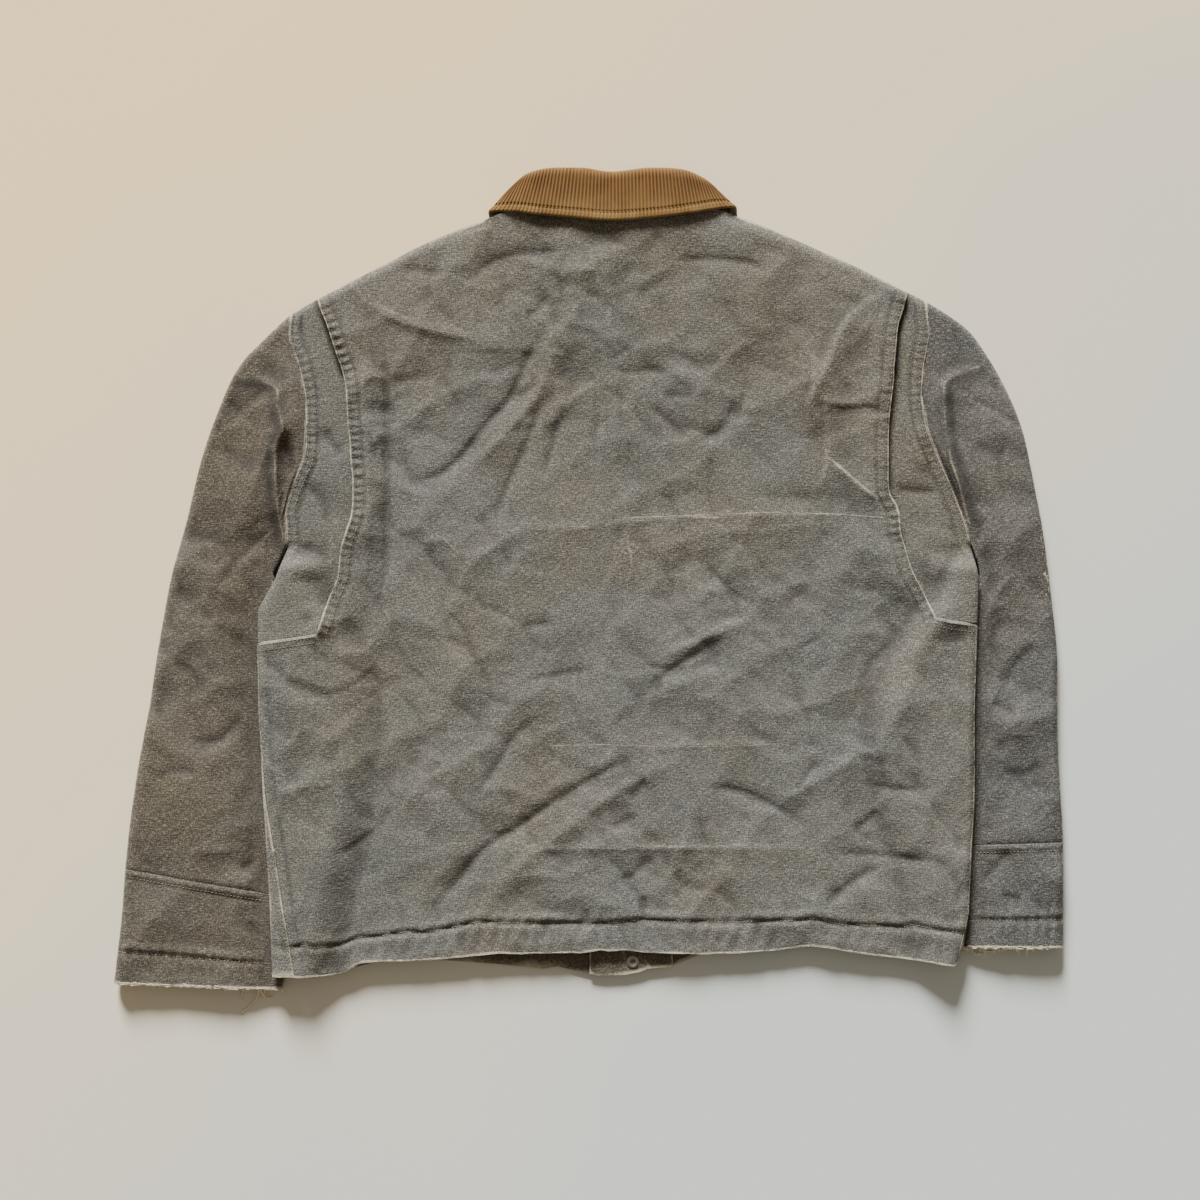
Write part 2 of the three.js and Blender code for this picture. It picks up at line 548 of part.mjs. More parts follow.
function gusset(side) {
  const inward = inwardOf[side];
  const foot = (side === 'left' ? notchLeft : notchRight) + seamGap;
  const boundary = sideRows(side, fromUnderarm.map((y, i) => (i < fromUnderarm.length - 1 ? y : foot)));
  const shares = [0, 0.015, 0.05, 0.11, 0.3, 0.5, 0.75, 1];
  const columns = shares.length;
  const rows = boundary.length;
  const footY = (x) => lineAt(gussetFoot, x) + seamGap;
  const pleatAt = (y) => readTable(pleats, 'y', side, Math.max(y, -49));
  const place = (r, c) => {
    const [edgeX, edgeY] = boundary[r];
    const share = (shoulderAt(side, edgeX) - edgeY) / (shoulderAt(side, edgeX) - footY(edgeX));
    let x = edgeX;
    let y = edgeY;
    for (let pass = 0; pass < 6 && c > 0; pass += 1) {
      const tuck = mix(-2 * seamGap, pleatTuck, smooth((shoulderAt(side, x) - y - 9) / 25));
      x = mix(edgeX, pleatAt(y) + inward * tuck, shares[c]);
      y = mix(shoulderAt(side, x), footY(x), share);
    }
    return [x, y];
  };
  const height = (x, y) => {
    const tucked = smooth(((x - pleatAt(y)) * inward + 4) / 12);
    return upperZ(gussetTop(x, y) - 0.4 * tucked, x, y);
  };
  const outside = (r, c) => {
    const [x, y] = place(r, c);
    return [x, y, height(x, y)];
  };
  const direction = (r, c) => faceDirection(height, ...place(r, c), 1);
  const up = side === 'left' ? 1 : -1;
  return clothWall({ rows, columns, outside, thickness: () => canvasWall, up, direction });
}

// ---- the fronts --------------------------------------------------------------------------------------

function frontTopLine(side, x) {
  if (side === 'left' && x < frontNeck[0][0]) return shoulderAt('left', x);
  if (side === 'right' && x > frontNeck[frontNeck.length - 1][0]) return shoulderAt('right', x);
  return lineAt(frontNeck, x);
}

// A front: columns run from the middle to the side, then on the left over the side's fold
// and in along the top to the felled side seam.
function front(side) {
  const inward = inwardOf[side];
  const sideRowsBelow = [...fromUnderarm, ...belowNotch.slice(1).map((share) => mix(notchLeft, cornerY[side], share))];
  const boundary = sideRows(side, sideRowsBelow);
  const armholeRows = armholeShares.length;
  const middleX = side === 'left' ? centreFront : centreFront + 0.5;
  const flatShares = side === 'left' ? [1, 0.7, 0.48] : [1, 0.8, 0.72, 0.48];
  const wrapShares = side === 'left' ? [0.12, 0.45, 1] : [];
  const flatColumns = flatShares.length;
  const edgeColumns = edgeSteps.length;
  const columns = flatColumns + edgeColumns + wrapShares.length;
  const rows = boundary.length;
  const foldColumn = flatColumns + edgeColumns - 1;

  function place(r, c) {
    const [edgeX, edgeY] = boundary[r];
    const share = (frontTopLine(side, edgeX) - edgeY) / (frontTopLine(side, edgeX) - hemAt('front', edgeX));
    let x = edgeX;
    if (c < flatColumns) x = mix(edgeX, middleX, flatShares[c]);
    else if (c <= foldColumn) x = edgeX + inward * edgeSteps[foldColumn - c];
    else x = edgeX + readTable(sides, 'y', 'seam', edgeY) * wrapShares[c - foldColumn - 1];
    const onBoundary = c >= foldColumn;
    const y = onBoundary ? edgeY : mix(frontTopLine(side, x), hemAt('front', x), clamp(share, 0, 1));
    return [x, y];
  }

  const over = (x, y) => upperZ(backTop(x, y), x, y);
  const outside = (r, c) => {
    const [x, y] = place(r, c);
    return [x, y, c > foldColumn ? over(x, y) : underZ(x, y)];
  };
  const direction = (r, c) => {
    const onTop = c > foldColumn;
    return faceDirection(onTop ? over : underZ, ...place(r, c), onTop ? 1 : -1);
  };
  const hemRow = rows - 1 - (belowNotch.length - 1 - belowNotch.indexOf(hemShare));
  const thickness = (r, c) => (r >= hemRow && c < foldColumn - 3 ? hemWall : canvasWall);
  const keep = (r, c) => c < foldColumn || r >= armholeRows - 1 + fromUnderarm.length;
  return clothWall({ rows, columns, outside, thickness, keep, direction, up: side === 'left' ? 1 : -1 });
}

// Height of the placket's upper face: over the thicker hem, and with some ease by the neck.
function placketTop(x, y) {
  const overHem = smooth((hemAt('front', x) + 50 - y) / 16) * (hemWall - canvasWall);
  const byNeck = smooth((y - 128) / 20) * 1.2;
  return overWings(x, y) + 2 * canvasWall + seamGap + overHem + byNeck;
}

// The strip inside the right front's edge that carries the stud sockets.
function placketStrip() {
  const stations = [0, 0.05, 0.1, 0.16, 0.2, 0.5, 0.7, 0.915, 0.943, 1];
  const xs = [placketLeft, 22, centreFront - 2, placketRight];
  const outside = (r, c) => {
    const x = xs[c];
    const y = mix(lineAt(frontNeck, x) - 4, hemAt('front', x) + 0.5, stations[r]);
    return [x, y, placketTop(x, y)];
  };
  return clothWall({ rows: stations.length, columns: xs.length, outside, thickness: () => canvasWall });
}

// ---- the sleeves -------------------------------------------------------------------------------------

// The flat section of a sleeve at a fractional row of its table, as a ring of points: over
// the top from its outer fold to its inner one, and back along the table. Each point comes
// with the way its cloth looks, square to the ring and level with the section.
function sleeveRing(side, at) {
  const sections = sleeveSections[side];
  const read = (column) => readAtRow(sections, column, at);
  const ends = [[read('outX'), read('outY')], [read('inX'), read('inY')]];
  const length = Math.hypot(ends[1][0] - ends[0][0], ends[1][1] - ends[0][1]);
  const armhole = armholeLine(side);
  const outward = -inwardOf[side];
  const start = armhole[0];
  const end = armhole[armhole.length - 1];
  const curve = clamp(read('curve'), 0, 1);
  const last = armholeShares.length - 1;

  function planAt(share) {
    const [ax, ay] = alongPath(armhole, share);
    const bendX = ax - mix(start[0], end[0], share);
    const bendY = ay - mix(start[1], end[1], share);
    const x = mix(ends[0][0], ends[1][0], share) + bendX * curve + outward * (seamGap + 0.1);
    return [x, mix(ends[0][1], ends[1][1], share) + bendY * curve];
  }

  function ringPoint(share, over) {
    const [x, y] = planAt(share);
    const fromBody = (readTable(sides, 'y', side, Math.min(y, underarmY)) - x) * -outward;
    const crown = sleeveCrown * smooth((fromBody - 5) / 34);
    const own = sleeveLow + crown + foldHeight(sleeveFolds, x, y) * smooth((fromBody - 3) / 14);
    const atArmhole = 2 * canvasWall + gussetAir + foldHeight(gussetFolds, x, y);
    const half = mix(atArmhole, own, smooth(at / 2.4)) / 2;
    const round = foldShape(Math.min(share, 1 - share) * length);
    return [x, y, over ? half + half * round : half - half * round];
  }

  const order = [];
  for (let k = 0; k <= last; k += 1) order.push([armholeShares[k], true]);
  for (let k = last - 1; k > 0; k -= 1) order.push([armholeShares[k], false]);
  const points = order.map(([share, over]) => ringPoint(share, over));
  return points.map((point, k) => {
    const before = planAt(Math.max(order[k][0] - 0.02, 0));
    const after = planAt(Math.min(order[k][0] + 0.02, 1));
    const level = new THREE.Vector3(after[0] - before[0], after[1] - before[1], 0).normalize();
    const previous = points[(k + points.length - 1) % points.length];
    const next = points[(k + 1) % points.length];
    const run = new THREE.Vector3(...next).sub(new THREE.Vector3(...previous));
    const facing = level.clone().multiplyScalar(-run.z).setZ(run.dot(level)).normalize();
    return { point, facing };
  });
}

function sleevePiece(side, places, wallAt) {
  const rings = places.map((at) => sleeveRing(side, at));
  return clothWall({
    rows: rings.length,
    columns: rings[0].length,
    outside: (r, c) => rings[r][c].point,
    direction: (r, c) => rings[r][c].facing,
    thickness: (r) => wallAt(places[r]),
    up: inwardOf[side],
    round: true,
  });
}

const sectionCount = sleeveSections.left.length;

function upperSleeve(side) {
  const steps = 14;
  const places = Array.from({ length: steps + 1 }, (_, i) => (i / steps) * lowerSleeveFrom);
  return sleevePiece(side, places, () => canvasWall);
}

function lowerSleeve(side) {
  const last = sectionCount - 1;
  const hemPlace = last - 0.56;
  const places = [lowerSleeveFrom + 0.008, hemPlace - 0.05, hemPlace, last];
  return sleevePiece(side, places, (at) => (at >= hemPlace ? hemWall : canvasWall));
}

// ---- the collar -----------------------------------------------------------------------------------------

// A place on the collar: across is the section, reach the distance from the roll towards
// the free edge and depth how far it lies inside the outer face.
function collarPoint(across, reach, depth, stretch = 0) {
  const read = (column) => readAtRow(fallSections, column, across);
  const roll = new THREE.Vector3(read('rollX'), read('rollY'), read('rollZ'));
  const edge = new THREE.Vector3(read('edgeX'), read('edgeY'), read('edgeZ'));
  const along = edge.clone().sub(roll);
  const length = along.length();
  along.normalize();
  const turn = THREE.MathUtils.degToRad(read('turn'));
  const out = new THREE.Vector3(-Math.sin(turn), 0, Math.cos(turn));
  return roll.addScaledVector(along, reach + stretch * length).addScaledVector(out, -depth);
}

const rollDepth = 7.6; // thickness of the collar over its folded top
const collarJoin = 6; // the under collar starts this far below the end of the fall
const fallProfile = [
  { reach: 8, depth: rollDepth, stretch: 0 },
  { reach: 1, depth: 5.7, stretch: 0 },
  { reach: 1, depth: 1.9, stretch: 0 },
  { reach: 8, depth: 0, stretch: 0 },
  { reach: 4, depth: 0, stretch: 0.5 },
  { reach: 0, depth: 0, stretch: 1 },
];

// Which way the collar's outer face looks at a row of its profile.
function collarFacing(across, { reach, depth, stretch }) {
  const point = collarPoint(across, reach, depth, stretch);
  const out = collarPoint(across, reach, depth - 1, stretch).sub(point);
  const toRoll = collarPoint(across, reach - 1, depth, stretch).sub(point);
  const angle = Math.PI * (depth / rollDepth);
  return out.multiplyScalar(Math.cos(angle)).addScaledVector(toRoll, Math.sin(angle)).normalize();
}

// Columns of the collar, from wing to wing: a few in the wings, and across the back one for
// every second wale.
function collarColumns() {
  const sections = fallSections.length - 1;
  const wingEnds = [3, sections - 3];
  const fine = 400;
  const lengthTo = [0];
  for (let i = 1; i <= fine; i += 1) {
    const from = collarPoint(((i - 1) / fine) * sections, 20, 0);
    const to = collarPoint((i / fine) * sections, 20, 0);
    lengthTo.push(lengthTo[i - 1] + from.distanceTo(to));
  }
  const lengthAt = (across) => lengthTo[Math.round((across / sections) * fine)];
  const acrossAt = (length) => {
    const i = clamp(lengthTo.findIndex((value) => value >= length - 1e-6), 1, fine);
    return ((i - 1 + (length - lengthTo[i - 1]) / (lengthTo[i] - lengthTo[i - 1])) / fine) * sections;
  };
  const stops = [lengthAt(0), lengthAt(wingEnds[0]), lengthAt(wingEnds[1]), lengthAt(sections)];
  const counts = [8, Math.round((stops[2] - stops[1]) / (2 * walePitch)), 8];
  const coarse = [];
  counts.forEach((count, zone) => {
    for (let k = 0; k < count; k += 1) {
      coarse.push({ length: mix(stops[zone], stops[zone + 1], k / count), split: zone === 1 ? 4 : 1 });
    }
  });
  coarse.push({ length: stops[3], split: 0 });
  return { coarse, acrossAt };
}

// The corduroy fall. Its outer face is raised in wales that run from the roll to the edge,
// four columns to two wales over one plain column inside. The wings that lie flat under the
// fronts stay plain. proud makes it larger all round, as a form to cut with.
function collarFall(wall = corduroyWall, proud = 0) {
  const sections = fallSections.length - 1;
  const { coarse, acrossAt } = collarColumns();
  const vertices = [];
  const put = (point) => {
    vertices.push(point.x, point.y, point.z);
    return vertices.length / 3 - 1;
  };
  const outerColumns = [];
  coarse.slice(0, -1).forEach(({ length, split }, k) => {
    for (let j = 0; j < split; j += 1) {
      const across = acrossAt(mix(length, coarse[k + 1].length, j / split));
      outerColumns.push({ across, raised: j % 2 === 1 ? waleHeight : 0 });
    }
  });
  outerColumns.push({ across: sections, raised: 0 });
  const profile = fallProfile.map((row, r) => (r === 0 ? { ...row, reach: row.reach + proud } : row));
  const pointAt = (across, row, outward) => put(
    collarPoint(across, row.reach, row.depth, row.stretch).addScaledVector(collarFacing(across, row), outward),
  );
  const outerIds = profile.map((row) => outerColumns.map(({ across, raised }) => pointAt(across, row, raised + proud)));
  const innerIds = profile.map((row) => coarse.map(({ length }) => pointAt(acrossAt(length), row, -wall)));

  const faces = [];
  const quad = (a, b, c, d) => faces.push(a, c, b, a, d, c);
  const last = fallProfile.length - 1;
  const outerLast = outerColumns.length - 1;
  const innerLast = coarse.length - 1;
  for (let r = 0; r < last; r += 1) {
    for (let c = 0; c < outerLast; c += 1) {
      quad(outerIds[r][c], outerIds[r][c + 1], outerIds[r + 1][c + 1], outerIds[r + 1][c]);
    }
    for (let k = 0; k < innerLast; k += 1) {
      quad(innerIds[r][k + 1], innerIds[r][k], innerIds[r + 1][k], innerIds[r + 1][k + 1]);
    }
    quad(outerIds[r + 1][0], innerIds[r + 1][0], innerIds[r][0], outerIds[r][0]);
    quad(outerIds[r][outerLast], innerIds[r][innerLast], innerIds[r + 1][innerLast], outerIds[r + 1][outerLast]);
  }
  // Along the two long rims each plain column meets its own columns of the ribbed face.
  const rim = (outerLine, innerLine, turned) => {
    const face = (a, b, c) => faces.push(...(turned ? [a, c, b] : [a, b, c]));
    let c = 0;
    for (let k = 0; k < innerLast; k += 1) {
      const { split } = coarse[k];
      const half = Math.ceil(split / 2);
      for (let j = 0; j < split; j += 1) {
        face(outerLine[c + j + 1], outerLine[c + j], innerLine[k + (j < half ? 0 : 1)]);
      }
      face(outerLine[c + half], innerLine[k], innerLine[k + 1]);
      c += split;
    }
  };
  rim(outerIds[0], innerIds[0], true);
  rim(outerIds[last], innerIds[last], false);
  const geometry = new THREE.BufferGeometry();
  geometry.setAttribute('position', new THREE.Float32BufferAttribute(vertices, 3));
  geometry.setIndex(faces);
  return geometry;
}

// The under collar stands up from the neck seam to the inner end of the fall.
function underCollar() {
  const { coarse, acrossAt } = collarColumns();
  const columns = coarse.filter((_, k) => k % 2 === 0 || coarse[k].split !== 4);
  const outside = (r, c) => {
    const across = acrossAt(columns[c].length);
    const top = collarPoint(across, fallProfile[0].reach + collarJoin, rollDepth);
    const foot = new THREE.Vector3(...['footX', 'footY', 'footZ'].map((column) => readAtRow(fallSections, column, across)));
    return top.lerp(foot, r / 2).toArray();
  };
  return clothWall({
    rows: 3, columns: columns.length, outside, thickness: () => underCollarWall, up: -1,
  });
}

// ---- press studs --------------------------------------------------------------------------------------------

const studPlaces = Array.from({ length: studCount }, (_, i) => ({ x: studLine, y: studFoot + i * studPitch }));
const studCapHeight = 1.1;
const studSides = 12;
const studRest = 0.1; // a cap lies this far up in its dent in the front's outside

function lathe(profile) {
  return new THREE.LatheGeometry(profile.map(([r, z]) => new THREE.Vector2(r, z)), studSides).rotateX(Math.PI / 2);
}

const studCap = () => lathe([
  [0, 0], [studCapRadius - 1, 0], [studCapRadius, 0.5], [studCapRadius, studCapHeight], [0, studCapHeight],
]);

const studRing = () => lathe([
  [studHoleRadius, 0], [studRingRadius, 0], [studRingRadius, 0.5], [studRingRadius - 1.6, 1.3], [studHoleRadius, 0.7],
  [studHoleRadius, 0],
]);

const wasm = await Module();
wasm.setup();

function toSolid(geometry) {
  const bare = geometry.clone();
  bare.deleteAttribute('normal');
  bare.deleteAttribute('uv');
  const merged = mergeVertices(bare, 1e-4);
  return new wasm.Manifold(new wasm.Mesh({
    numProp: 3,
    vertProperties: Float32Array.from(merged.attributes.position.array),
    triVerts: Uint32Array.from(merged.index.array),
  }));
}

function toGeometry(solid) {
  const mesh = solid.getMesh();
  const geometry = new THREE.BufferGeometry();
  geometry.setAttribute('position', new THREE.Float32BufferAttribute(mesh.vertProperties, 3));
  geometry.setIndex(Array.from(mesh.triVerts));
  return geometry;
}

// Each cap sits in a dent that it has pressed into the left front's outside.
function withStudDents(geometry) {
  const depth = studRest + studCapHeight + seamGap;
  const solid = studPlaces.reduce((cloth, { x, y }) => {
    const dent = new THREE.CylinderGeometry(studCapRadius + seamGap, studCapRadius + seamGap, depth + 1, studSides);
    dent.rotateX(Math.PI / 2).translate(x, y, underZ(x, y) + depth - (depth + 1) / 2);
    return cloth.subtract(toSolid(dent));
  }, toSolid(geometry));
  return toGeometry(solid);
}

// Where the under collar turns the corners of the neck it is cut clear of the fall.
function trimmedUnderCollar() {
  const clear = toSolid(collarFall(corduroyWall + seamGap, seamGap));
  const fall = toSolid(collarFall());
  const shifts = [0, 1, 2].flatMap((axis) => [-seamGap, seamGap].map((by) => [0, 1, 2].map((i) => (i === axis ? by : 0))));
  const parts = shifts.reduce((cloth, shift) => cloth.subtract(fall.translate(shift)), toSolid(underCollar()).subtract(clear));
  return toGeometry(parts.decompose().reduce((a, b) => (a.volume() > b.volume() ? a : b)));
}

// ---- assembly -----------------------------------------------------------------------------------------------

const canvas = { color: 0x6f6a60, roughness: 0.9, metalness: 0 };
const corduroy = { color: 0xa8814a, roughness: 0.85, metalness: 0 };
const agedMetal = { color: 0x8f8a80, roughness: 0.45, metalness: 0.9 };

const group = new THREE.Group();
function addPiece(name, geometry, finish) {
  const mesh = new THREE.Mesh(geometry, new THREE.MeshStandardMaterial(finish));
  mesh.name = name;
  group.add(mesh);
  return mesh;
}

addPiece('back_panel', backPanel(), canvas);
addPiece('front_left', withStudDents(front('left')), canvas);
addPiece('front_right', front('right'), canvas);
addPiece('placket', placketStrip(), canvas);
['left', 'right'].forEach((side) => {
  addPiece(`gusset_${side}`, gusset(side), canvas);
  addPiece(`sleeve_${side}`, upperSleeve(side), canvas);
  addPiece(`sleeve_lower_${side}`, lowerSleeve(side), canvas);
});
addPiece('collar', collarFall(), corduroy);
addPiece('under_collar', trimmedUnderCollar(), canvas);
studPlaces.forEach(({ x, y }, i) => {
  addPiece(`stud_cap_${i + 1}`, studCap(), agedMetal).position.set(x, y, underZ(x, y) + studRest);
  addPiece(`stud_ring_${i + 1}`, studRing(), agedMetal).position.set(x, y, placketTop(x, y) + seamGap);
});

export default group;
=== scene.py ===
# A worn duck canvas barn jacket lying on a table with its back up: cloth, seams and finishes.
# Lengths are millimetres until a mesh is made; the scene itself is in metres.
import functools
import json
import math
import mathutils
import mathutils.bvhtree
import bpy
import numpy as np
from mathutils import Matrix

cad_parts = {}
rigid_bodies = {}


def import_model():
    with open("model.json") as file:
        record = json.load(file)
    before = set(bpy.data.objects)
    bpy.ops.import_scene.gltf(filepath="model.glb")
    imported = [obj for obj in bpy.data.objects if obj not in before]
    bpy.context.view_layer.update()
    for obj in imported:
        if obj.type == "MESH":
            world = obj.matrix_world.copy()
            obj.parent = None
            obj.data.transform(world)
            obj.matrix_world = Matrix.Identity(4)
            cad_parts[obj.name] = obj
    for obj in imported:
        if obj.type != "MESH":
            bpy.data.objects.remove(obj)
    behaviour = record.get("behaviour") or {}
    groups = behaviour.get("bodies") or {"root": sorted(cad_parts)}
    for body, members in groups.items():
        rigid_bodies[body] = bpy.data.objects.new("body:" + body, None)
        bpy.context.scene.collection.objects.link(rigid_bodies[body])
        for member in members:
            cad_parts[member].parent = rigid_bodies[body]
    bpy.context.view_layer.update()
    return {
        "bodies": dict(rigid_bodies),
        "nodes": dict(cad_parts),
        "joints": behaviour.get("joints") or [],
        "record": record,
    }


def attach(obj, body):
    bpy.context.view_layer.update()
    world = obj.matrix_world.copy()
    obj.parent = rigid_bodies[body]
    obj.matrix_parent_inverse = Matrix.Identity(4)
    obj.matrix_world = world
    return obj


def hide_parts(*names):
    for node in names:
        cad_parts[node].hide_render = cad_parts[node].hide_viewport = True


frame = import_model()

rng = np.random.default_rng(11)
print("frame loaded")

# camera: straight above the jacket, the whole of it in view
cameraPlace = {"x": 10.4, "y": -18.9, "height": 2400, "viewWidth": 1080}
camera = bpy.data.objects.new("overheadCamera", bpy.data.cameras.new("overheadCamera"))
camera.location = (cameraPlace["x"] / 1000, cameraPlace["y"] / 1000, cameraPlace["height"] / 1000)
camera.data.sensor_width = 36
camera.data.lens = 36 * (cameraPlace["height"] - 10) / cameraPlace["viewWidth"]
bpy.context.scene.collection.objects.link(camera)
bpy.context.scene.camera = camera

# tables: outlines of the laid-out jacket, one row per place
sides = [  # y, left edge x, right edge x, how far in the left side seam lies
    (29, -271, 345, 0.4), (1, -281, 351, 0.4), (-28, -297, 350, 0.4), (-57, -297, 349, 0.4),
    (-122, -296, 347, 0.6), (-200, -292, 347, 2.6), (-250, -288.5, 344, 8), (-300, -286, 342, 13),
    (-330, -285, 337, 17), (-358, -284, 327, 21)]
armholes = [  # y, left x, right x of the armhole seams
    (220, -270, 307), (193, -261, 302), (166, -255, 300), (134, -254, 305), (109, -256, 315),
    (85, -266, 326), (60, -273, 336), (29, -271, 345)]
shoulderLeft = [(-94, 323), (-120, 314), (-152, 300), (-188, 281), (-224, 263), (-244, 252.5), (-268, 239)]
shoulderRight = [(131, 328), (172, 312), (208, 296), (244, 280), (280, 262), (287, 258.5), (304, 250.5)]
backNeck = [(-94, 323), (-72, 331), (-35, 336), (21, 338), (80, 338), (106, 335), (131, 328)]
frontNeck = [(-94, 323), (-84, 300), (-55, 270), (-15, 250), (21, 245), (58, 250), (95, 270), (123, 302),
             (131, 328)]
gussetFoot = [(-297, -57), (-269, -53), (-243, -49), (311, -34), (325, -37), (350, -40)]
sleeveRows = {  # outer end x, y, inner end x, y, share of the armhole's curve
    "left": [(-268, 239, -271, 29, 1), (-294, 214, -276.8, 15, .85), (-314, 192, -283.4, -2, .6),
             (-331, 157, -277, -20, .4), (-347, 112, -262, -38, .25), (-361, 55, -244, -66, .12),
             (-376, -1, -236, -98, 0), (-386, -55, -234, -136, 0), (-395, -113, -236, -172, 0),
             (-405, -167, -242, -210, 0), (-412, -215, -250, -250, 0), (-417, -260, -259, -288, 0),
             (-421, -312, -267, -330, 0), (-427, -364, -276, -370, 0)],
    "right": [(304, 250.5, 345, 29, 1), (339, 227, 349.2, 15, .85), (359, 201, 352.4, -2, .6),
              (378, 166, 347, -20, .4), (391, 132, 333, -38, .25), (401, 85, 316, -60, .12),
              (410, 35, 306, -84, 0), (417, -20, 299, -110, 0), (422, -75, 296, -140, 0),
              (422, -125, 299, -172, 0), (424, -182, 306, -206, 0), (427, -236, 316, -240, 0),
              (427, -285, 327, -288, 0), (427, -332, 336, -332, 0)]}
fallRows = [  # collar: folded top x y z, free edge x y z, turn of the outer face, neck seam x y z
    (8, 264, .4, -25, 222, .4, 180, 5, 249.5, 7.6), (-24, 290, .4, -63, 258, .4, 180, -40, 266, 7.6),
    (-58, 331, .4, -84, 303, .4, 180, -82, 304, 7.6), (-67, 350, 4.5, -90, 325, 3.4, 125, -86, 327, 7),
    (-65, 358, 11, -89, 331, 11, 60, -83, 332, 9), (-55, 365, 15, -68, 330, 17.5, 10, -66, 335.6, 13),
    (-36, 369.5, 16, -44, 327, 19, 0, -40, 338.6, 14.2), (-8, 370, 16, -12, 324, 20, 0, -10, 340.4, 14.2),
    (21, 366.5, 15.5, 21, 321.5, 20.5, 0, 21, 341, 14.2), (56, 370, 16, 58, 324, 20, 0, 56, 340.8, 14.2),
    (84, 368.5, 16, 90, 328, 19, 0, 84, 340, 14.2), (102, 362, 15, 113, 332, 17.5, -10, 103, 338.6, 13),
    (111, 356, 11, 132, 335, 11, -60, 124, 336.5, 9), (113, 348, 4.5, 134.5, 328, 1.3, -125, 124.5, 333, 7),
    (104, 330, .4, 126, 304, .4, -180, 121, 304, 7.6), (68, 290, .4, 107, 258, .4, -180, 82, 266, 7.6),
    (36, 264, .4, 69, 222, .4, -180, 38, 249.5, 7.6)]
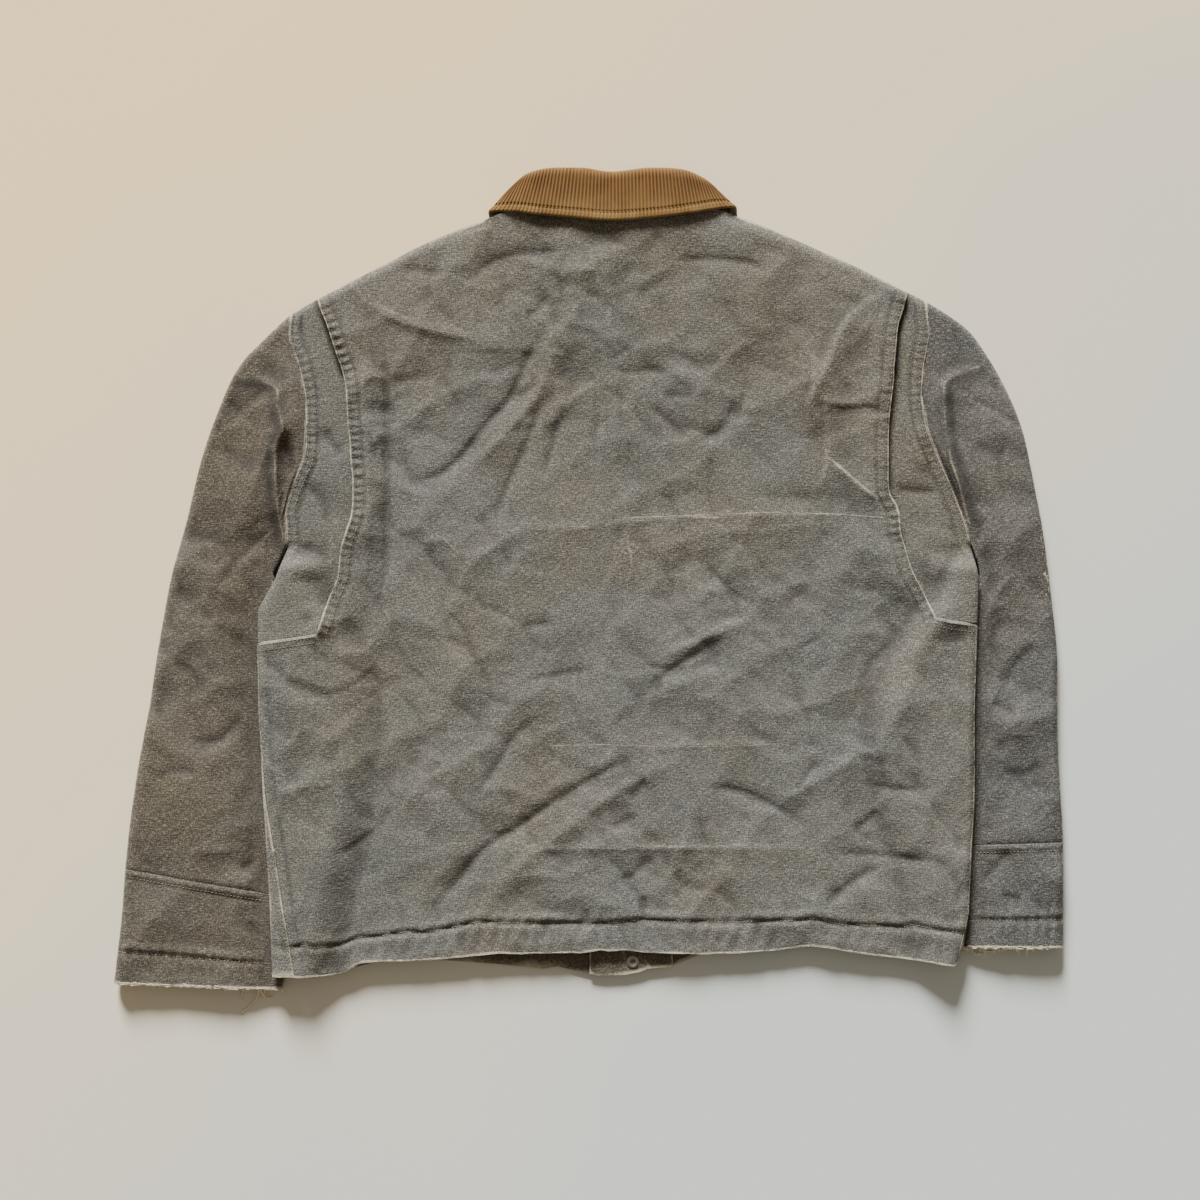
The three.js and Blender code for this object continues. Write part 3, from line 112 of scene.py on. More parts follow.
backCreases = [  # rise mm, width left, width right, power, path
    (-2.5, 7, 7, 1.3, [(-114, 264), (-102, 274), (-89, 284), (-75, 290), (-44, 294), (-8, 296)]),
    (3.2, 24, 7, 1.5, [(-215, 255), (-192, 244), (-179, 235), (-161, 229), (-134, 221), (-107, 216),
        (-84, 207)]),
    (-1.5, 8, 8, 2, [(-174, 282), (-125, 274)]),
    (-2, 5, 5, 1.2, [(-33, 257), (-59, 230)]),
    (1.5, 8, 8, 1.8, [(-26, 276), (1, 278), (12, 273)]),
    (-4, 9, 7, 1.3, [(-36, 234), (-48, 212), (-59, 188), (-73, 160), (-92, 139), (-131, 96), (-171, 86)]),
    (2.6, 10, 9, 1.8, [(-24, 235), (-37, 186), (-53, 157), (-80, 125), (-120, 87)]),
    (-2, 5, 5, 1.2, [(-73, 160), (-41, 178)]),
    (-2.6, 7, 5, 1.3, [(-39, 169), (-57, 121), (-70, 92), (-88, 49)]),
    (-2, 6, 6, 1.3, [(-17, 166), (-31, 127), (-44, 86)]),
    (-1.6, 5, 5, 1.2, [(19, 248), (38, 259), (59, 259)]),
    (-1.6, 5, 5, 1.2, [(16, 195), (42, 210)]),
    (-1.8, 5, 5, 1.2, [(16, 195), (33, 186), (58, 188), (77, 176)]),
    (-1.3, 5, 5, 1.3, [(65, 166), (100, 164)]),
    (-2, 6, 6, 1.3, [(52, 158), (93, 124)]),
    (-2.6, 7, 6, 1.3, [(137, 168), (118, 134), (96, 122)]),
    (-2.4, 6, 6, 1.3, [(69, 285), (108, 288), (133, 286), (150, 283), (167, 274)]),
    (6, 24, 7, 1.5, [(268, 260), (246, 245), (228, 223), (216, 197), (207, 176), (198, 158), (200, 149),
        (213, 123)]),
    (3, 16, 5, 1.3, [(210, 179), (214, 161), (216, 110), (211, 90), (198, 64)]),
    (-1.8, 14, 14, 2, [(141, 76), (216, 71)]),
    (1.8, 5, 5, 1.3, [(216, 107), (231, 94), (244, 82), (266, 68)]),
    (-2, 5, 5, 1.2, [(141, 171), (133, 139)]),
    (1.6, 8, 7, 1.8, [(-200, 220), (-198, 116), (-200, 17), (-209, -39)]),
    (-3.2, 10, 10, 1.8, [(-184, 229), (-181, 116), (-183, 17), (-191, -46)]),
    (1.1, 4, 5, 1.2, [(-99, 43), (-65, 47), (-22, 45), (19, 49), (63, 54), (96, 56), (154, 57), (266, 59)]),
    (1, 4, 4, 1.2, [(28, -151), (64, -152), (122, -149), (181, -149)]),
    (1.6, 5, 6, 1.3, [(-89, -250), (-62, -246), (5, -242), (54, -242), (122, -242), (222, -243)]),
    (1, 4, 4, 1.3, [(-273, -188), (-219, -182)]),
    (3, 12, 12, 1.7, [(154, -34), (96, -57), (53, -78)]),
    (-2.6, 7, 7, 1.3, [(126, -52), (85, -74), (48, -103)]),
    (-1.5, 4, 4, 1.2, [(181, -64), (199, -58), (213, -48)]),
    (-2, 6, 6, 1.3, [(-57, -91), (-22, -85), (4, -80)]),
    (-1.6, 5, 5, 1.3, [(-61, -43), (-31, -39)]),
    (-2, 6, 6, 1.3, [(74, -94), (33, -112)]),
    (-2.6, 7, 7, 1.3, [(-43, -122), (-67, -142), (-84, -170), (-108, -201)]),
    (-4.2, 10, 8, 1.3, [(55, -152), (19, -170), (-16, -191), (-57, -219), (-101, -249), (-116, -269),
        (-136, -291), (-153, -315)]),
    (3.6, 16, 16, 1.8, [(91, -159), (37, -185), (1, -210), (-44, -244), (-80, -275), (-108, -311)]),
    (-2, 5, 5, 1.2, [(54, -178), (36, -201)]),
    (-3, 7, 8, 1.3, [(99, -185), (136, -191), (167, -204), (195, -221)]),
    (-2, 6, 6, 1.3, [(212, -163), (195, -177), (186, -194)]),
    (-2.6, 7, 7, 1.3, [(243, -184), (278, -189), (312, -187)]),
    (-2.6, 6, 6, 1.3, [(263, -208), (236, -229)]),
    (-2, 5, 5, 1.2, [(19, -225), (46, -212)]),
    (-2.6, 7, 7, 1.4, [(219, -246), (270, -249), (319, -255)]),
    (-3.8, 7, 8, 1.3, [(270, -253), (236, -274), (208, -298)]),
    (-2.6, 7, 7, 1.3, [(60, -249), (26, -277)]),
    (-2.6, 4, 4, 1.3, [(50, -283), (50, -310)]),
    (2, 9, 9, 1.7, [(217, -271), (207, -289), (210, -316)]),
    (-1.6, 6, 6, 1.3, [(-260, -109), (-219, -100), (-188, -77)]),
    (-1.8, 6, 6, 1.3, [(-233, -253), (-197, -230), (-170, -199)]),
    (-1.6, 6, 6, 1.4, [(100, 17), (127, -10), (138, -41)]),
    (-1.5, 5, 5, 1.4, [(280, -55), (253, -77), (244, -109)]),
    (-1.6, 5, 5, 1.3, [(-134, -19), (-107, -55), (-99, -91)]),
]
gussetCreases = [  # rise mm, width left, width right, power, path
    (-2.6, 6, 6, 1.3, [(-260, 28), (-243, 21), (-231, 17)]),
    (-2, 5, 5, 1.3, [(-257, -38), (-242, -34)]),
    (-2.4, 7, 7, 1.5, [(-240, 139), (-229, 120), (-218, 109)]),
    (-2.5, 6, 6, 1.3, [(271, 83), (285, 80), (318, 78)]),
    (-4.2, 8, 7, 1.3, [(334, 32), (321, 8), (315, -10), (306, -22)]),
    (2, 8, 8, 1.6, [(303, 143), (297, 112), (303, 94)]),
    (-1.8, 6, 6, 1.4, [(-255, 89), (-240, 71), (-233, 44)]),
]
sleeveCreases = [  # rise mm, width left, width right, power, path
    (8.5, 6, 16, 1.3, [(-314, 182), (-294, 179), (-279, 170), (-279, 157), (-273, 134), (-280, 121),
        (-281, 103), (-279, 58), (-273, 31)]),
    (-3.2, 8, 8, 1.3, [(-285, 44), (-305, 26), (-318, 13), (-336, -10)]),
    (1.4, 5, 5, 1.3, [(-377, -39), (-323, -41)]),
    (-3.2, 7, 8, 1.3, [(-359, -145), (-336, -147), (-318, -131), (-309, -120)]),
    (-3.6, 7, 7, 1.3, [(-305, -125), (-302, -163), (-300, -203)]),
    (1.5, 6, 6, 1.5, [(-359, -246), (-317, -244)]),
    (-2.2, 5, 5, 1.3, [(-314, -264), (-294, -248)]),
    (-1.8, 7, 7, 1.5, [(-350, 161), (-327, 125), (-321, 89)]),
    (-1.8, 6, 6, 1.4, [(-395, -181), (-368, -172), (-345, -176)]),
    (-1.6, 6, 6, 1.4, [(-381, -73), (-354, -86), (-345, -109)]),
    (8.5, 16, 6, 1.3, [(351, 192), (334, 186), (319, 176), (319, 166), (321, 134), (325, 107), (334, 80),
        (343, 49)]),
    (3, 10, 10, 1.5, [(357, 71), (357, 44), (350, 17)]),
    (3.2, 12, 10, 1.6, [(351, -57), (370, -10), (390, 10)]),
    (-2.6, 7, 7, 1.3, [(360, -110), (387, -123)]),
    (-2.6, 7, 7, 1.3, [(381, -242), (352, -276)]),
    (-2, 5, 5, 1.3, [(369, -284), (392, -290)]),
    (-2, 7, 7, 1.5, [(379, 134), (370, 98), (375, 62)]),
    (-1.8, 6, 6, 1.4, [(406, -55), (384, -77), (370, -109)]),
    (-1.8, 6, 6, 1.4, [(411, -163), (388, -176), (366, -172)]),
    (-2.2, 8, 8, 1.5, [(366, 17), (357, -19), (354, -55)]),
]
outlines = {  # mm: x across, y up the back
    "hemBack": [(-283.9, -357.3), (-259.7, -357.3), (-232.7, -356.4), (-219.2, -353.7), (-205.7, -345.6),
        (-187.7, -343.8), (-169.7, -343.8), (-133.7, -342.0), (-106.7, -339.3), (-79.7, -336.6),
        (-61.6, -337.5), (-39.1, -336.6), (-7.7, -336.6), (10.3, -333.9), (19.4, -334.8), (32.9, -333.9),
        (46.4, -335.7), (64.4, -336.6), (100.4, -337.5), (136.3, -336.6), (172.3, -333.9), (199.3, -330.3),
        (217.3, -332.1), (235.3, -335.7), (262.4, -339.3), (280.4, -341.1), (302.9, -343.8),
        (328.1, -347.4), (336.2, -339.3)],
    "hemStitch": [(-284.9, -328.5), (-268.7, -331.2), (-250.7, -327.6), (-248.8, -330.3), (-223.7, -329.4),
        (-205.7, -322.2), (-192.2, -322.2), (-160.7, -316.8), (-151.7, -318.6), (-124.7, -314.1),
        (-97.7, -307.8), (-93.2, -308.7), (-61.6, -309.6), (-25.7, -309.6), (10.3, -310.5), (46.4, -306.9),
        (82.4, -308.7), (120.2, -308.7), (154.3, -307.8), (190.3, -306.9), (201.2, -305.1), (226.3, -310.5),
        (262.4, -312.3), (284.9, -313.2), (291.2, -310.5), (316.4, -315.0), (339.8, -317.7)],
    "hemFront": [(-283.9, -356.4), (-219.2, -351.9), (-187.7, -344.7), (-133.7, -343.8), (-79.7, -347.4),
        (-39.1, -351.9), (-21.2, -348.3), (-12.2, -353.7), (1.4, -356.4), (10.3, -358.2), (32.9, -357.3),
        (46.4, -354.6), (53.6, -351.9), (73.4, -350.1), (91.4, -342.9), (100.4, -338.4), (172.3, -331.2),
        (199.3, -328.5), (235.3, -333.9), (262.4, -336.6), (302.9, -341.1), (328.1, -343.8),
        (336.2, -337.5)],
    "pleatLeft": [(-244.3, 254.7), (-240.8, 242.1), (-235.3, 228.6), (-230.0, 212.4), (-225.5, 198.9),
        (-221.0, 186.3), (-218.2, 171.9), (-217.3, 161.1), (-216.5, 143.1), (-214.7, 125.1),
        (-213.8, 107.1), (-212.0, 89.1), (-212.0, 71.1), (-213.8, 54.9), (-218.2, 42.3), (-221.8, 30.6),
        (-223.7, 17.1), (-225.5, 0.9), (-229.1, -8.1), (-233.6, -18.9), (-237.2, -29.7), (-240.8, -41.4),
        (-243.5, -48.6)],
    "pleatRight": [(286.7, 256.5), (283.1, 242.1), (278.6, 228.6), (276.8, 210.6), (274.9, 192.6),
        (274.1, 174.6), (272.2, 161.1), (270.4, 143.1), (269.6, 125.1), (269.6, 107.1), (269.6, 89.1),
        (271.4, 75.6), (276.8, 66.6), (279.4, 57.6), (280.4, 44.1), (283.9, 30.6), (287.6, 17.1),
        (293.9, 0.9), (300.2, -9.9), (305.6, -21.6), (310.9, -33.3)],
}

# reading the tables
def smooth(value):  # 0 below 0, 1 above 1, an S between
    t = np.clip(value, 0, 1)
    return t * t * (3 - 2 * t)


def mix(a, b, t):
    return a + (b - a) * t


def bend(points, at):  # a smooth curve through (place, value) points, read at an array of places
    points = sorted(points)
    xs = np.array([p[0] for p in points], float)
    ys = np.array([p[1] for p in points], float)
    at = np.clip(np.asarray(at, float), xs[0], xs[-1])
    i = np.clip(np.searchsorted(xs, at) - 1, 0, len(xs) - 2)
    steps = np.diff(ys) / np.diff(xs)
    slopes = np.concatenate([steps[:1], (steps[1:] + steps[:-1]) / 2, steps[-1:]])
    slopes[1:-1] = np.where(steps[1:] * steps[:-1] <= 0, 0, slopes[1:-1])
    h = xs[i + 1] - xs[i]
    t = (at - xs[i]) / h
    h01 = t * t * (3 - 2 * t)
    return (ys[i] * (1 - h01) + ys[i + 1] * h01
            + h * (slopes[i] * t * (1 - t) ** 2 - slopes[i + 1] * t * t * (1 - t)))


def hump(distance, width):  # 1 in the middle, falling off on both sides
    return np.exp(-((distance / width) ** 2))


def runOf(line):  # how far along a line each of its points lies
    return np.concatenate([[0], np.cumsum(np.hypot(*np.diff(line, axis=0).T))])


def lineLength(line):
    return np.hypot(*np.diff(np.asarray(line, float), axis=0).T).sum()


def alongLine(line, at):  # points at distances along a line, kept straight between its points
    gone = runOf(line)
    return np.stack([np.interp(at, gone, line[:, 0]), np.interp(at, gone, line[:, 1])], axis=-1)


def straight(points, at):  # straight lines between (place, value) points
    points = sorted(points)
    return np.interp(at, [p[0] for p in points], [p[1] for p in points])


def rowCurve(rows, column, at):  # a smooth curve through one column, read at fractional row numbers
    return bend([(i, row[column]) for i, row in enumerate(rows)], at)


def pathDistance(path, x, y):
    # distance to a line of points, which side of it (1 left), and the share of its length gone by
    path = np.array(path, float)
    best = np.full(np.shape(x), 1e9)
    side = np.ones(np.shape(x))
    along = np.zeros(np.shape(x))
    lengths = np.hypot(*np.diff(path, axis=0).T)
    before = np.concatenate([[0], np.cumsum(lengths)])
    for k, (ax, ay) in enumerate(path[:-1]):
        dx, dy = path[k + 1] - path[k]
        t = np.clip(((x - ax) * dx + (y - ay) * dy) / (dx * dx + dy * dy), 0, 1)
        d = np.hypot(x - ax - dx * t, y - ay - dy * t)
        nearer = d < best
        best = np.where(nearer, d, best)
        side = np.where(nearer, np.where(dx * (y - ay) - dy * (x - ax) >= 0, 1, -1), side)
        along = np.where(nearer, (before[k] + t * lengths[k]) / before[-1], along)
    return best, side, along


def fineLine(path, step=4):  # the same line with a point every few millimetres, rounded at its bends
    path = np.array(path, float)
    gone = runOf(path)
    at = np.linspace(0, gone[-1], max(2, int(gone[-1] / step) + 1))
    return np.stack([bend(list(zip(gone, path[:, 0])), at), bend(list(zip(gone, path[:, 1])), at)], axis=1)


def folds(table, x, y):
    # sum of folds: rise * fade at both ends * (a narrow crease and a wide tent with a sharp top)
    total = np.zeros(np.shape(x))
    for rise, left, right, power, path in table:
        points = np.array(path, float)
        reach = 7.5 * max(left, right)
        near = ((x > points[:, 0].min() - reach) & (x < points[:, 0].max() + reach)
                & (y > points[:, 1].min() - reach) & (y < points[:, 1].max() + reach))
        if near.any():
            d, side, along = pathDistance(fineLine(path, 9), x[near], y[near])
            fade = smooth(np.minimum(along, 1 - along) * 3.2 + 0.04)
            width = np.where(side > 0, left, right)
            crease = np.exp(-((d / (0.55 * width)) ** (power * 0.8)))
            total[near] += rise * fade * (0.5 * crease + 0.5 * np.exp(-d / (2.1 * width)))
    return total


def noise(x, y, scale, seed):  # smooth lattice noise from -1 to 1, one bump every scale mm
    table = np.random.default_rng(seed).uniform(-1, 1, (64, 64))
    u = np.asarray(x) / scale + 1000
    v = np.asarray(y) / scale + 1000
    iu, iv = np.floor(u).astype(int), np.floor(v).astype(int)
    su, sv = smooth(u - iu), smooth(v - iv)
    pick = lambda a, b: table[(iu + a) % 64, (iv + b) % 64]
    return mix(mix(pick(0, 0), pick(1, 0), su), mix(pick(0, 1), pick(1, 1), su), sv)


def dishes(u, v, seed, lean=0.9):
    # Shallow dishes that meet at sharp ridges, one for each cell of an uneven grid: the least,
    # over nearby cells, of distance squared plus a random tilt and height. About -1 to 1.
    table = np.random.default_rng(seed).uniform(-1, 1, (5, 64, 64))
    cu, cv = np.floor(u).astype(int), np.floor(v).astype(int)
    best = np.full(np.shape(u), 1e9)
    for du in (-1, 0, 1):
        for dv in (-1, 0, 1):
            k = table[:, (cu + du) % 64, (cv + dv) % 64]
            a, b = u - (cu + du + 0.5 + 0.42 * k[0]), v - (cv + dv + 0.5 + 0.42 * k[1])
            best = np.minimum(best, 1.5 * (a * a + b * b) + lean * (k[2] * a + k[3] * b) + 0.35 * k[4])
    return np.clip(best, -1, 1.4) - 0.25


def crumple(x, y, seed, slant=0.7):
    # broad swells, then slanting drawn-out dishes between sharp creases at two sizes, some of
    # them turned over so that there are sharp valleys too
    wx = x + 13 * noise(x, y, 60, seed + 1) + 4 * noise(x, y, 22, seed + 6)
    wy = y + 13 * noise(x, y, 60, seed + 2) + 4 * noise(x, y, 22, seed + 7)
    along, across = wx * slant + wy * (1 - slant / 2), wy * slant - wx * (1 - slant / 2)
    amount = 0.75 + 0.45 * noise(x, y, 90, seed + 8)
    creased = 2.2 * dishes(along / 66 + 300, across / 38 + 300, seed + 3)
    turned = -1.5 * dishes(across / 58 + 300, along / 31 + 300, seed + 4)
    small = 0.5 * dishes(wx / 17 + 300, wy / 13 + 300, seed + 5)
    return 0.8 * noise(x, y, 95, seed) + amount * (creased + turned + small)


# how high each layer lies
layer = {"wall": 2.2, "seamGap": 0.3, "foldRadius": 8, "backAir": 7, "leastAir": 2.4, "gussetAir": 4.8,
         "sleeveLow": 9.5, "sleeveCrown": 4.5, "overSleeve": 10.4, "pleatRise": 5, "pleatTuck": 22,
         "underarmY": 29, "notchLeft": -57, "notchRight": -40, "wingLift": 3}
# how strong each kind of relief is, and how long the ripples are beside a row of stitches
foldLook = {"folds": 1.05, "crumple": 1.15, "gussetCrumple": 0.4, "pleatPucker": 0.85, "pleatGroove": 0.8,
            "hemGroove": 1.4, "hemPitch": 15, "hemSlant": 0.45, "pleatPitch": 7.4, "armPitch": 7.2}
inwardOf = {"left": 1, "right": -1}
sideColumn = {"left": 1, "right": 2}
sideEdge = lambda side, y: straight([(r[0], r[sideColumn[side]]) for r in sides], y)
seamIn = lambda y: straight([(r[0], r[3]) for r in sides], y)
shoulderEnd = {"left": shoulderLeft[-1], "right": shoulderRight[-1]}
armholeLine = {side: np.array([shoulderEnd[side]] + [(r[sideColumn[side]], r[0]) for r in armholes], float)
               for side in inwardOf}
pleatLine = {side: np.array(outlines["pleat" + side.title()]) for side in inwardOf}
pleatX = lambda side, y: bend([(p[1], p[0]) for p in pleatLine[side]], y)
shoulderAt = {"left": lambda x: straight(shoulderLeft, x), "right": lambda x: straight(shoulderRight, x)}
silhouettes = [shoulderLeft, shoulderRight, *[[(r[k], r[0]) for r in sides] for k in sideColumn.values()]]
hiddenFold = {side: [(r[3], r[2]) for r in sleeveRows[side]] for side in inwardOf}


def toFold(x, y):  # distance to the nearest folded edge of the body
    return np.minimum.reduce([pathDistance(line, x, y)[0] for line in silhouettes])


def foldShape(distance):  # a quarter circle from the folded edge in
    left = 1 - np.minimum(distance, layer["foldRadius"]) / layer["foldRadius"]
    return np.sqrt(np.maximum(1 - left * left, 0))


def topEdge(neck, x):  # the shoulders, and the neck seam between them
    between = np.where(x > neck[-1][0], shoulderAt["right"](x), straight(neck, x))
    return np.where(x < neck[0][0], shoulderAt["left"](x), between)


def lift(x, y):  # where the body lies on a sleeve
    over = [smooth(((straight(hiddenFold[side], y) - x) * inwardOf[side] + 50) / 36) for side in inwardOf]
    return layer["overSleeve"] * smooth((layer["underarmY"] - y) / 22) * np.maximum(*over)


def overWings(x, y):  # the fronts and the back rise over the collar's wings
    beside = 1 - smooth((np.abs(x - 21) - 125) / 45)
    return layer["wingLift"] * smooth((y - 185) / 30) * beside * smooth((toFold(x, y) - 2) / 9)


def pucker(line, x, y, reach, pitch, seed):
    # ripples across a stitched line: a wave along it with an uneven phase, fading out sideways
    d, _, along = pathDistance(line, x, y)
    s = along * lineLength(line)
    wave = np.sin(2 * np.pi * s / pitch + 2.4 * noise(s, 0 * s, pitch * 4, seed))
    strength = 0.55 + 0.45 * noise(s, 0 * s + 50, pitch * 7, seed + 1)
    return wave * strength * hump(d, reach)


def gussetTop(x, y):
    return (lift(x, y) + 2 * layer["wall"] + layer["gussetAir"] + folds(gussetCreases, x, y)
            + foldLook["gussetCrumple"] * crumple(x, y, 31))


def offsetLine(line, by):  # the line moved sideways, to its left where by is above zero
    line = fineLine(line, 4)
    run = np.gradient(line, axis=0)
    run /= np.hypot(*run.T)[:, None]
    return line + by * np.stack([-run[:, 1], run[:, 0]], axis=1)


# creases run out from here on the upper back
drawn = {"x": 22, "y": 205, "reach": 125, "height": 1.7}


def drawnCreases(x, y):
    dx, dy = x - drawn["x"], y - drawn["y"]
    distance = np.hypot(dx, dy)
    turn = np.arctan2(dy, dx) + 0.25 * noise(x, y, 50, 91)
    field = dishes(turn * 2.6 + 300, np.log(distance + 14) * 1.5 + 300, 93) \
        - 0.7 * dishes(turn * 4.2 + 320, np.log(distance + 14) * 2.3 + 310, 95)
    return drawn["height"] * field * hump(distance, drawn["reach"]) * smooth((distance - 14) / 60)


def backTop(x, y):
    plain = lift(x, y) + 0.6 * overWings(x, y) + 2 * layer["wall"] + layer["backAir"]
    fromPleat = np.minimum(np.abs(x - pleatX("left", y)), np.abs(x - pleatX("right", y)))
    beside = smooth((y - layer["notchLeft"]) / 26)
    raised = layer["pleatRise"] * (1 - smooth((fromPleat - 8) / 36)) * beside
    detail = foldLook["folds"] * folds(backCreases, x, y) + foldLook["crumple"] * crumple(x, y, 7)
    detail += drawnCreases(x, y)
    for k, (side, inward) in enumerate(inwardOf.items()):
        band, groove = (offsetLine(pleatLine[side], by * inward) for by in (5, 11))
        detail += foldLook["pleatPucker"] * pucker(band, x, y, 5.5, foldLook["pleatPitch"], 60 + k)
        detail -= foldLook["pleatGroove"] * hump(pathDistance(groove, x, y)[0], 1.8) * beside
    stitched, sideOf, _ = pathDistance(outlines["hemStitch"], x, y)
    below = np.where(sideOf < 0, stitched, -stitched)  # distance below the hem's stitching
    detail += (0.9 + 0.9 * noise(x, y, 38, 79)) * hump(below + 5, 4) - foldLook["hemGroove"] * hump(below, 1.45)
    detail += 0.9 * smooth(below / 6) + 1.1 * smooth(below / 4) * dishes(x / 24 + 300, y / 18 + 300, 77)
    detail += hemPucker(x, y, below)
    height = plain + raised + detail
    clear = gussetTop(x, y) + layer["wall"] + 0.8 - 9 * (1 - smooth((y - layer["notchLeft"] + 4) / 22))
    height = np.where((fromPleat < layer["pleatTuck"] + 6) & (y > layer["notchLeft"] - 4),
                      np.maximum(height, clear), height)
    return np.maximum(height, lift(x, y) + 2 * layer["wall"] + layer["leastAir"])


def hemPucker(x, y, below):
    # slanting ripples in the stitched hem, and shorter ones that run up from the stitching
    slant = x - foldLook["hemSlant"] * (y + 340)
    wave = np.sin(2 * np.pi * slant / foldLook["hemPitch"] + 2.6 * noise(slant, 0 * x, 60, 71))
    inHem = smooth(below / 5) * (1 - 0.5 * smooth((below - 14) / 12))
    above = hump(np.minimum(below, 0), 9) * (below < 2)
    return (0.4 * inHem + 0.35 * above) * wave * (0.6 + 0.7 * noise(x, y, 45, 72))


foldMiddle = layer["wall"] + layer["gussetAir"] / 2


def upperZ(top, x, y):  # the upper layer rounds down to the folds
    middle = lift(x, y) + foldMiddle + layer["seamGap"] / 2
    return middle + (top - middle) * foldShape(toFold(x, y))


def underZ(x, y):  # and the under layer rounds up to meet it
    middle = lift(x, y) + foldMiddle - layer["seamGap"] / 2
    bottom = lift(x, y) + overWings(x, y)
    return middle - (middle - bottom) * foldShape(toFold(x, y))


# meshes
coarse = 3  # the inner face of a cloth has one point for this many outer ones, each way


def putMesh(name, points, loops, counts, materials, faceMaterial=None, uv=None, attributes=None, sharp=48):
    # points in mm, faces as one run of vertex numbers with the corner count of each face
    mesh = bpy.data.meshes.new(name)
    mesh.vertices.add(len(points))
    mesh.vertices.foreach_set("co", (np.asarray(points, float) / 1000).ravel())
    mesh.loops.add(len(loops))
    mesh.loops.foreach_set("vertex_index", np.asarray(loops, np.int32))
    mesh.polygons.add(len(counts))
    mesh.polygons.foreach_set("loop_start", np.concatenate([[0], np.cumsum(counts)[:-1]]).astype(np.int32))
    mesh.polygons.foreach_set("use_smooth", np.ones(len(counts), bool))
    for material in materials:
        mesh.materials.append(material)
    if faceMaterial is not None:
        mesh.polygons.foreach_set("material_index", np.asarray(faceMaterial, np.int32))
    if uv is not None:
        flat = (np.asarray(uv, float)[loops] / 1000).ravel()
        mesh.uv_layers.new(name="cloth").uv.foreach_set("vector", flat)
    for key, values in (attributes or {}).items():
        mesh.attributes.new(key, "FLOAT", "POINT").data.foreach_set("value", np.asarray(values, np.float32))
    mesh.validate()
    mesh.update(calc_edges=True)
    if sharp:
        mesh.set_sharp_from_angle(angle=math.radians(sharp))
    piece = bpy.data.objects.new(name, mesh)
    bpy.context.scene.collection.objects.link(piece)
    return piece


def gridNormals(points, wrapAcross=False):
    # unit normals of a rows x columns grid, from its steps down and across
    down = np.gradient(points, axis=0)
    if wrapAcross:
        across = np.roll(points, -1, axis=1) - np.roll(points, 1, axis=1)
    else:
        across = np.gradient(points, axis=1)
    normal = np.cross(down, across)
    return normal / np.maximum(np.linalg.norm(normal, axis=2, keepdims=True), 1e-9)


def allCells(points, closed=False):  # one cell for each face of the inner grid
    rows, columns = points.shape[:2]
    return np.ones(((rows - 1) // coarse, (columns if closed else columns - 1) // coarse), bool)


def clothShell(name, outer, materials, wall=1.8, keep=None, up=1, closed=False, uv=None, attributes=None,
               facing=None):
    # A closed wall: a fine outer grid, an inner one with every coarse-th point set back along
    # the normal, and rims that fan between the two. Rows run down and columns to the right for
    # a face that looks up; up is -1 for the mirrored order. keep marks the coarse cells in use.
    rows, columns = outer.shape[:2]
    normal = gridNormals(outer, closed) * up if facing is None else facing
    keep = allCells(outer, closed) if keep is None else keep
    cellRows, cellColumns = keep.shape
    wall = np.zeros((rows, columns)) + wall
    inner = (outer - normal * wall[..., None])[::coarse, ::coarse]
    innerColumns = inner.shape[1]
    outerId = lambda r, c: r * columns + (c % columns if closed else c)
    innerId = lambda r, c: rows * columns + r * innerColumns + (c % innerColumns if closed else c)
    fine = np.kron(keep, np.ones((coarse, coarse), bool))
    around = ((0, 0), (1, 0), (1, 1), (0, 1))  # a cell's corners, row and column
    quads = []
    for number, cells, corners in ((outerId, fine, around), (innerId, keep, around[:1] + around[:0:-1])):
        r, c = np.nonzero(cells)
        quads.append(np.stack([number(r + down, c + across) for down, across in corners], axis=1))
    padded = np.pad(keep, 1)
    if closed:
        padded[1:-1, 0] = keep[:, -1]
        padded[1:-1, -1] = keep[:, 0]
    half = (coarse + 1) // 2
    rim = []
    # each side of a cell: its first corner's row and column, the steps to the next, and whether to flip
    for r0, c0, down, across, flip in ((0, 0, 0, 1, 0), (1, 0, 0, 1, 1), (0, 0, 1, 0, 1), (0, 1, 1, 0, 0)):
        below, beside = (2 * r0, 1) if across else (1, 2 * c0)
        r, c = np.nonzero(keep & ~padded[below:below + cellRows, beside:beside + cellColumns])
        r, c = r + r0, c + c0
        at = [outerId(r * coarse + t * down, c * coarse + t * across) for t in range(coarse + 1)]
        first, second = innerId(r, c), innerId(r + down, c + across)
        fan = [[at[t], at[t + 1], first if t < half else second] for t in range(coarse)]
        rim += [np.stack(face if flip else face[::-1], axis=1) for face in [*fan, [at[half], second, first]]]
    quads, rim = np.concatenate(quads), np.concatenate(rim)
    if up > 0:
        rim = rim[:, ::-1]
    else:
        quads = quads[:, ::-1]
    points = np.concatenate([outer.reshape(-1, 3), inner.reshape(-1, 3)])
    which = np.zeros(len(quads) + len(rim))
    which[int(fine.sum()):len(quads)] = min(1, len(materials) - 1)
    counts = np.concatenate([np.full(len(quads), 4), np.full(len(rim), 3)])
    used, compact = np.unique(np.concatenate([quads.ravel(), rim.ravel()]), return_inverse=True)
    flat = lambda grid: grid.reshape(grid.shape[0] * grid.shape[1], -1)
    spread = lambda grid: np.concatenate([flat(grid), flat(grid[::coarse, ::coarse])])[used]
    told = {key: spread(grid[..., None])[:, 0] for key, grid in attributes.items()}
    return putMesh(name, points[used], compact, counts, materials, which,
                   spread(outer[..., :2] if uv is None else uv), told)


